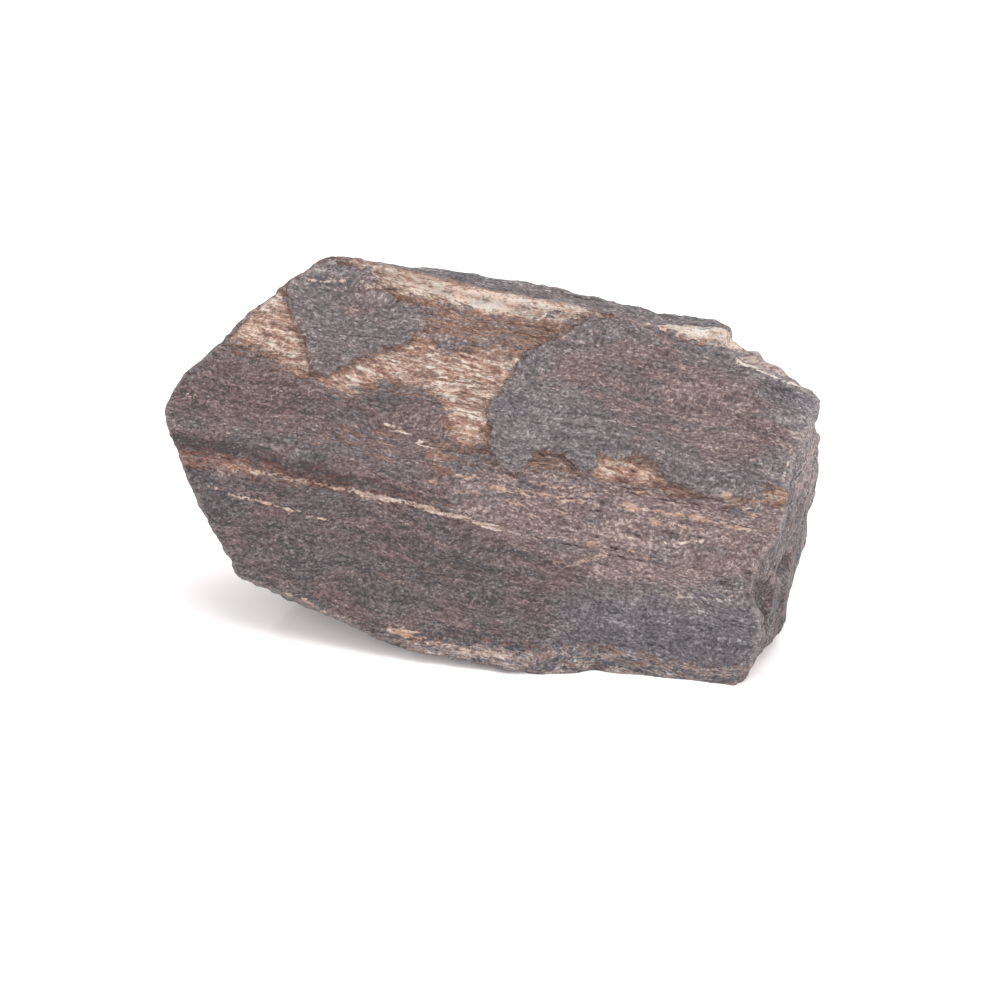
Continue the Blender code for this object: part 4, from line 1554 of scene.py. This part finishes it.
        ore = desk.blend(
            skin, self._pale(desk, layer_tone, redness, rusting), self._dark(desk, redness)
        )
        ore = self._worn(desk, self._lined(desk, ore, rusting))
        shader = material.node_tree.nodes["Principled BSDF"]
        desk.wire(ore, shader.inputs["Base Color"])
        desk.wire(self._roughness(desk, skin), shader.inputs["Roughness"])
        desk.wire(self._bump(desk, skin), shader.inputs["Normal"])
        shader.inputs["Specular IOR Level"].default_value = self.specular
        return material

    def _layers(self, desk: OreDesk) -> tuple[Socket, Socket]:
        """Place the order of the layers by depth.

        Args:
            desk: the finish's desk.

        Returns:
            The tone and the redness of the layer at each point.
        """
        depth = desk.place("ShaderNodeSeparateXYZ", {"Vector": desk.bedding}).outputs["Z"]
        low, high = LAYERS[0].depth, LAYERS[-1].depth + self.last_layer
        stops = tuple(
            ((layer.depth - low) / (high - low), (layer.tone, layer.redness, 0.0, 1.0))
            for layer in LAYERS
        )
        share = desk.remap(desk.stirred(depth, self.layer_stir), low, high, straight=True)
        colour = desk.ramp(share, stops, steps=True)
        parts = desk.place("ShaderNodeSeparateColor", {"Color": colour})
        return parts.outputs["Red"], parts.outputs["Green"]

    def _dark(self, desk: OreDesk, redness: Socket) -> Socket:
        """Mix the colour of the dark ore, with a painted glint highlight on a few grains.

        Args:
            desk: the finish's desk.
            redness: how red the ore is.

        Returns:
            The colour.
        """
        tone = desk.stirred(desk.kept[Record.SKIN_TONE], self.dark_stir)
        tone = desk.stirred(tone, self.broken_dark_stir, desk.kept[Record.BROKEN])
        share = desk.remap(redness, *self.maroon_by_redness)
        dark = desk.blend(share, desk.ramp(tone, self.steel), desk.ramp(tone, self.maroon))
        dark = desk.tinted(dark, self.cool, desk.remap(redness, *self.dark_cool_by_redness))
        # Painted glint highlight: a few grains lightened in the colour itself.
        return desk.blend(desk.scaled(desk.glint, self.glint_share), dark, self.glint)

    def _pale(self, desk: OreDesk, layer_tone: Socket, redness: Socket, rusting: Socket) -> Socket:
        """Mix the colour of the layers below the dark ore.

        Args:
            desk: the finish's desk.
            layer_tone: the tone of the layer on the broken sides.
            redness: how red the ore is.
            rusting: how rusty it is.

        Returns:
            The colour.
        """
        side_tone = desk.add(layer_tone, self.layer_lift)
        below = desk.mix(desk.kept[Record.BROKEN], desk.kept[Record.UNDER_TONE], side_tone)
        below = desk.stirred(below, self.under_stir)
        below = desk.cut_by(below, Pattern.SHORT_FLAKES, self.cracks)
        below = desk.cut_by(below, Pattern.STREAKS, self.partings)
        pale = desk.tinted(desk.ramp(below, self.under), self.rust, rusting)
        pale = desk.tinted(pale, self.reddish, desk.remap(redness, *self.reddish_by_redness))
        return desk.tinted(pale, self.cool, desk.remap(redness, *self.cool_by_redness))

    def _lined(self, desk: OreDesk, ore: Socket, rusting: Socket) -> Socket:
        """Lay the thin pale and rusty lines over the ore.

        Args:
            desk: the finish's desk.
            ore: the colour so far.
            rusting: how rusty the ore is.

        Returns:
            The colour with the lines.
        """
        line_tone = desk.kept[Record.LINE_TONE]
        bright = desk.ramp(desk.stirred(line_tone, self.line_tone_stir), self.under)
        rust = desk.times(rusting, desk.remap(line_tone, *self.rust_by_line_tone))
        bright = desk.tinted(bright, self.rust, rust)
        strength = desk.stirred(desk.kept[Record.LINE], self.line_stir)
        return desk.blend(desk.remap(strength, *self.line_edge), ore, bright)

    def _worn(self, desk: OreDesk, ore: Socket) -> Socket:
        """Dust the worn edges and paint shade into the hollows, under the left ledge and along the
        sheets' feet.

        Args:
            desk: the finish's desk.
            ore: the colour so far.

        Returns:
            The finished colour.
        """
        worn = desk.stirred(desk.kept[Record.EDGE], self.worn_stir)
        ore = desk.blend(desk.remap(worn, *self.dust_by_wear), ore, self.dust)
        # Painted shade: the darkest steel colour laid into hollows, under the left ledge and along
        # the sheets' feet.
        shade = desk.remap(desk.kept[Record.PAINTED_SHADE], *self.shade_by_hollow)
        return desk.blend(shade, ore, self.steel[0][1])

    def _roughness(self, desk: OreDesk, skin: Socket) -> Socket:
        """Work out the roughness, lower on the dark ore and on the grains that glint.

        Args:
            desk: the finish's desk.
            skin: how far the dark ore covers the layers below it.

        Returns:
            The roughness.
        """
        rough = desk.remap(skin, 0.0, 1.0, self.under_roughness, self.skin_roughness)
        rough = desk.stirred(rough, self.rough_stir)
        return desk.add(rough, desk.scaled(desk.glint, self.glint_roughness))

    def _bump(self, desk: OreDesk, skin: Socket) -> Socket:
        """Work out the finest relief, which is too small for the mesh.

        Args:
            desk: the finish's desk.
            skin: how far the dark ore covers the layers below it.

        Returns:
            The direction of the surface.
        """
        flakes = (
            desk.scaled(desk.patterns[pattern], self.flake_height)
            for pattern in (Pattern.LONG_FLAKES, Pattern.SHORT_FLAKES)
        )
        specks = desk.scaled(desk.patterns[Pattern.SPECKS], self.speck_height)
        grainy = desk.add(specks, desk.scaled(desk.grain_height, self.grain_height))
        height = desk.mix(skin, desk.add(grainy, desk.add(*flakes)), grainy)
        laminae = desk.scaled(desk.patterns[Pattern.LAMINAE], self.lamina_height)
        height = desk.add(height, desk.times(laminae, desk.kept[Record.BROKEN]))
        inputs = {"Strength": self.bump_strength, "Distance": self.bump_distance, "Height": height}
        return desk.place("ShaderNodeBump", inputs).outputs["Normal"]


@dataclass
class Martite:
    """The stone: its shape, its relief, the values kept on it and its finish."""

    node: str = "martite"
    body: str = "root"
    shape: StoneShape = field(default_factory=StoneShape)
    relief: Relief = field(default_factory=Relief)
    finish: OreFinish = field(default_factory=OreFinish)
    work: MeshWork = field(default_factory=MeshWork)
    cell: float = 0.23
    triangles: int = 190000
    worn_rounds: int = 2
    normal_rounds: int = 4

    def build(self) -> bpy.types.Object:
        """Model, place and finish the stone.

        Returns:
            The finished piece, which stands for the solid.
        """
        stone = self.shape.block(self.work)
        plain = self._facets(stone)
        self.work.recell(stone, self.cell)
        self.work.soften(stone, self.worn_rounds)
        self._carve(stone)
        self.work.recell(stone, self.cell)
        self.work.thin_out(stone, self.triangles)
        self.work.break_off(stone, Vector((0.0, 0.0, 0.0)), Vector((0.0, 0.0, -1.0)))
        OreValues(stone.data, plain, self.relief, self.work).keep()
        to_middle = (-self.shape.middle_x, -self.shape.middle_y, 0.0)
        stone.data.transform(Matrix.Scale(MM, 4) @ Matrix.Translation(to_middle))
        stone.data.shade_smooth()
        stone.data.materials.clear()
        stone.data.materials.append(self.finish.build())
        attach(stone, self.body)
        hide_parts(self.node)
        return stone

    def _facets(self, stone: bpy.types.Object) -> BVHTree:
        """Keep the plain block's facets, to tell the face from the breaks."""
        corners = [vertex.co.copy() for vertex in stone.data.vertices]
        return BVHTree.FromPolygons(corners, [tuple(face.vertices) for face in stone.data.polygons])

    def _carve(self, stone: bpy.types.Object) -> None:
        """Give the plain block its relief.

        Args:
            stone: the block, in millimetres.
        """
        mesh = stone.data
        normals = self.work.read(mesh, "normal")
        normals = self.work.spread(normals, self.work.edges(mesh), self.normal_rounds)
        normals /= np.linalg.norm(normals, axis=1)[:, None]
        moved = self.relief.carve(self.work.read(mesh, "co"), normals)
        mesh.vertices.foreach_set("co", moved.astype(np.float32).ravel())
        mesh.update()


@dataclass(frozen=True)
class Lamp:
    """A square soft light that points at the stone."""

    name: str
    place: Point
    width: float
    power: float

    def hang(self) -> None:
        """Hang the light."""
        lamp = bpy.data.lights.new(self.name, "AREA")
        lamp.size = self.width
        lamp.energy = self.power
        thing = bpy.data.objects.new(self.name, lamp)
        bpy.context.scene.collection.objects.link(thing)
        thing.location = self.place
        thing.rotation_euler = (-Vector(self.place)).to_track_quat("-Z", "Y").to_euler()


@dataclass
class Studio:
    """Pale floor, soft lights and the camera. Lengths are in metres."""

    floor_radius: float = 3.0
    floor_corners: int = 96
    floor_colour: Colour = tint(248, 243, 244)
    floor_glow: Colour = tint(255, 246, 248)
    floor_glow_strength: float = 0.14
    floor_roughness: float = 0.16
    floor_specular: float = 0.22
    world_colour: Colour = (1.0, 1.0, 1.0, 1.0)
    world_strength: float = 0.90
    lamps: tuple[Lamp, ...] = (
        Lamp("overhead", (0.20, 0.10, 0.95), 1.0, 6.0),
        Lamp("right", (0.90, -0.15, 0.40), 0.6, 4.5),
        Lamp("front", (-0.25, -1.00, 0.55), 0.8, 4.6),
    )
    camera_azimuth: float = math.radians(16.5)
    camera_elevation: float = math.radians(21.0)
    camera_distance: float = 0.5
    camera_aim: Point = (0.00539, -0.01258, 0.01848)
    camera_clip: Span = (0.01, 20.0)
    lens: float = 169.2
    sensor: float = 36.0

    def build(self) -> None:
        """Set up everything round the stone."""
        self._floor()
        self._world()
        for lamp in self.lamps:
            lamp.hang()
        self._camera()

    def _floor(self) -> None:
        """Lay the floor, a wide disc with a faint gloss."""
        bpy.ops.object.select_all(action="DESELECT")
        bpy.ops.mesh.primitive_circle_add(
            vertices=self.floor_corners, radius=self.floor_radius, fill_type="NGON",
            location=(0, 0, 0),
        )
        floor = bpy.context.object
        floor.name = "floor"
        material = bpy.data.materials.new("floor")
        material.use_nodes = True
        sockets = {
            "Base Color": self.floor_colour, "Emission Color": self.floor_glow,
            "Emission Strength": self.floor_glow_strength, "Roughness": self.floor_roughness,
            "Specular IOR Level": self.floor_specular,
        }
        for name, value in sockets.items():
            material.node_tree.nodes["Principled BSDF"].inputs[name].default_value = value
        floor.data.materials.append(material)

    def _world(self) -> None:
        """Fill the surroundings with even white light."""
        world = bpy.data.worlds.new("studio")
        world.use_nodes = True
        background = world.node_tree.nodes["Background"]
        background.inputs["Color"].default_value = self.world_colour
        background.inputs["Strength"].default_value = self.world_strength
        scene = bpy.context.scene
        scene.world = world
        scene.view_settings.view_transform = "Standard"
        scene.view_settings.look = "None"

    def _camera(self) -> None:
        """Stand the camera at the photograph's angle."""
        azimuth, elevation = self.camera_azimuth, self.camera_elevation
        back = Vector((
            math.sin(azimuth) * math.cos(elevation),
            -math.cos(azimuth) * math.cos(elevation),
            math.sin(elevation),
        ))
        data = bpy.data.cameras.new("camera")
        data.lens = self.lens
        data.sensor_width = self.sensor
        data.clip_start, data.clip_end = self.camera_clip
        camera = bpy.data.objects.new("camera", data)
        bpy.context.scene.collection.objects.link(camera)
        camera.location = Vector(self.camera_aim) + back * self.camera_distance
        camera.rotation_euler = back.to_track_quat("Z", "Y").to_euler()
        bpy.context.scene.camera = camera


def main() -> None:
    """Build the stone and its studio."""
    logging.basicConfig(level=logging.INFO, format="%(message)s")
    log = logging.getLogger("martite")
    stone = Martite().build()
    faces = sum(len(face.vertices) - 2 for face in stone.data.polygons)
    log.info("%s: %d triangles", stone.name, faces)
    Studio().build()
    log.info("studio: floor, three soft lights and a camera")


if __name__ == "__main__":
    main()
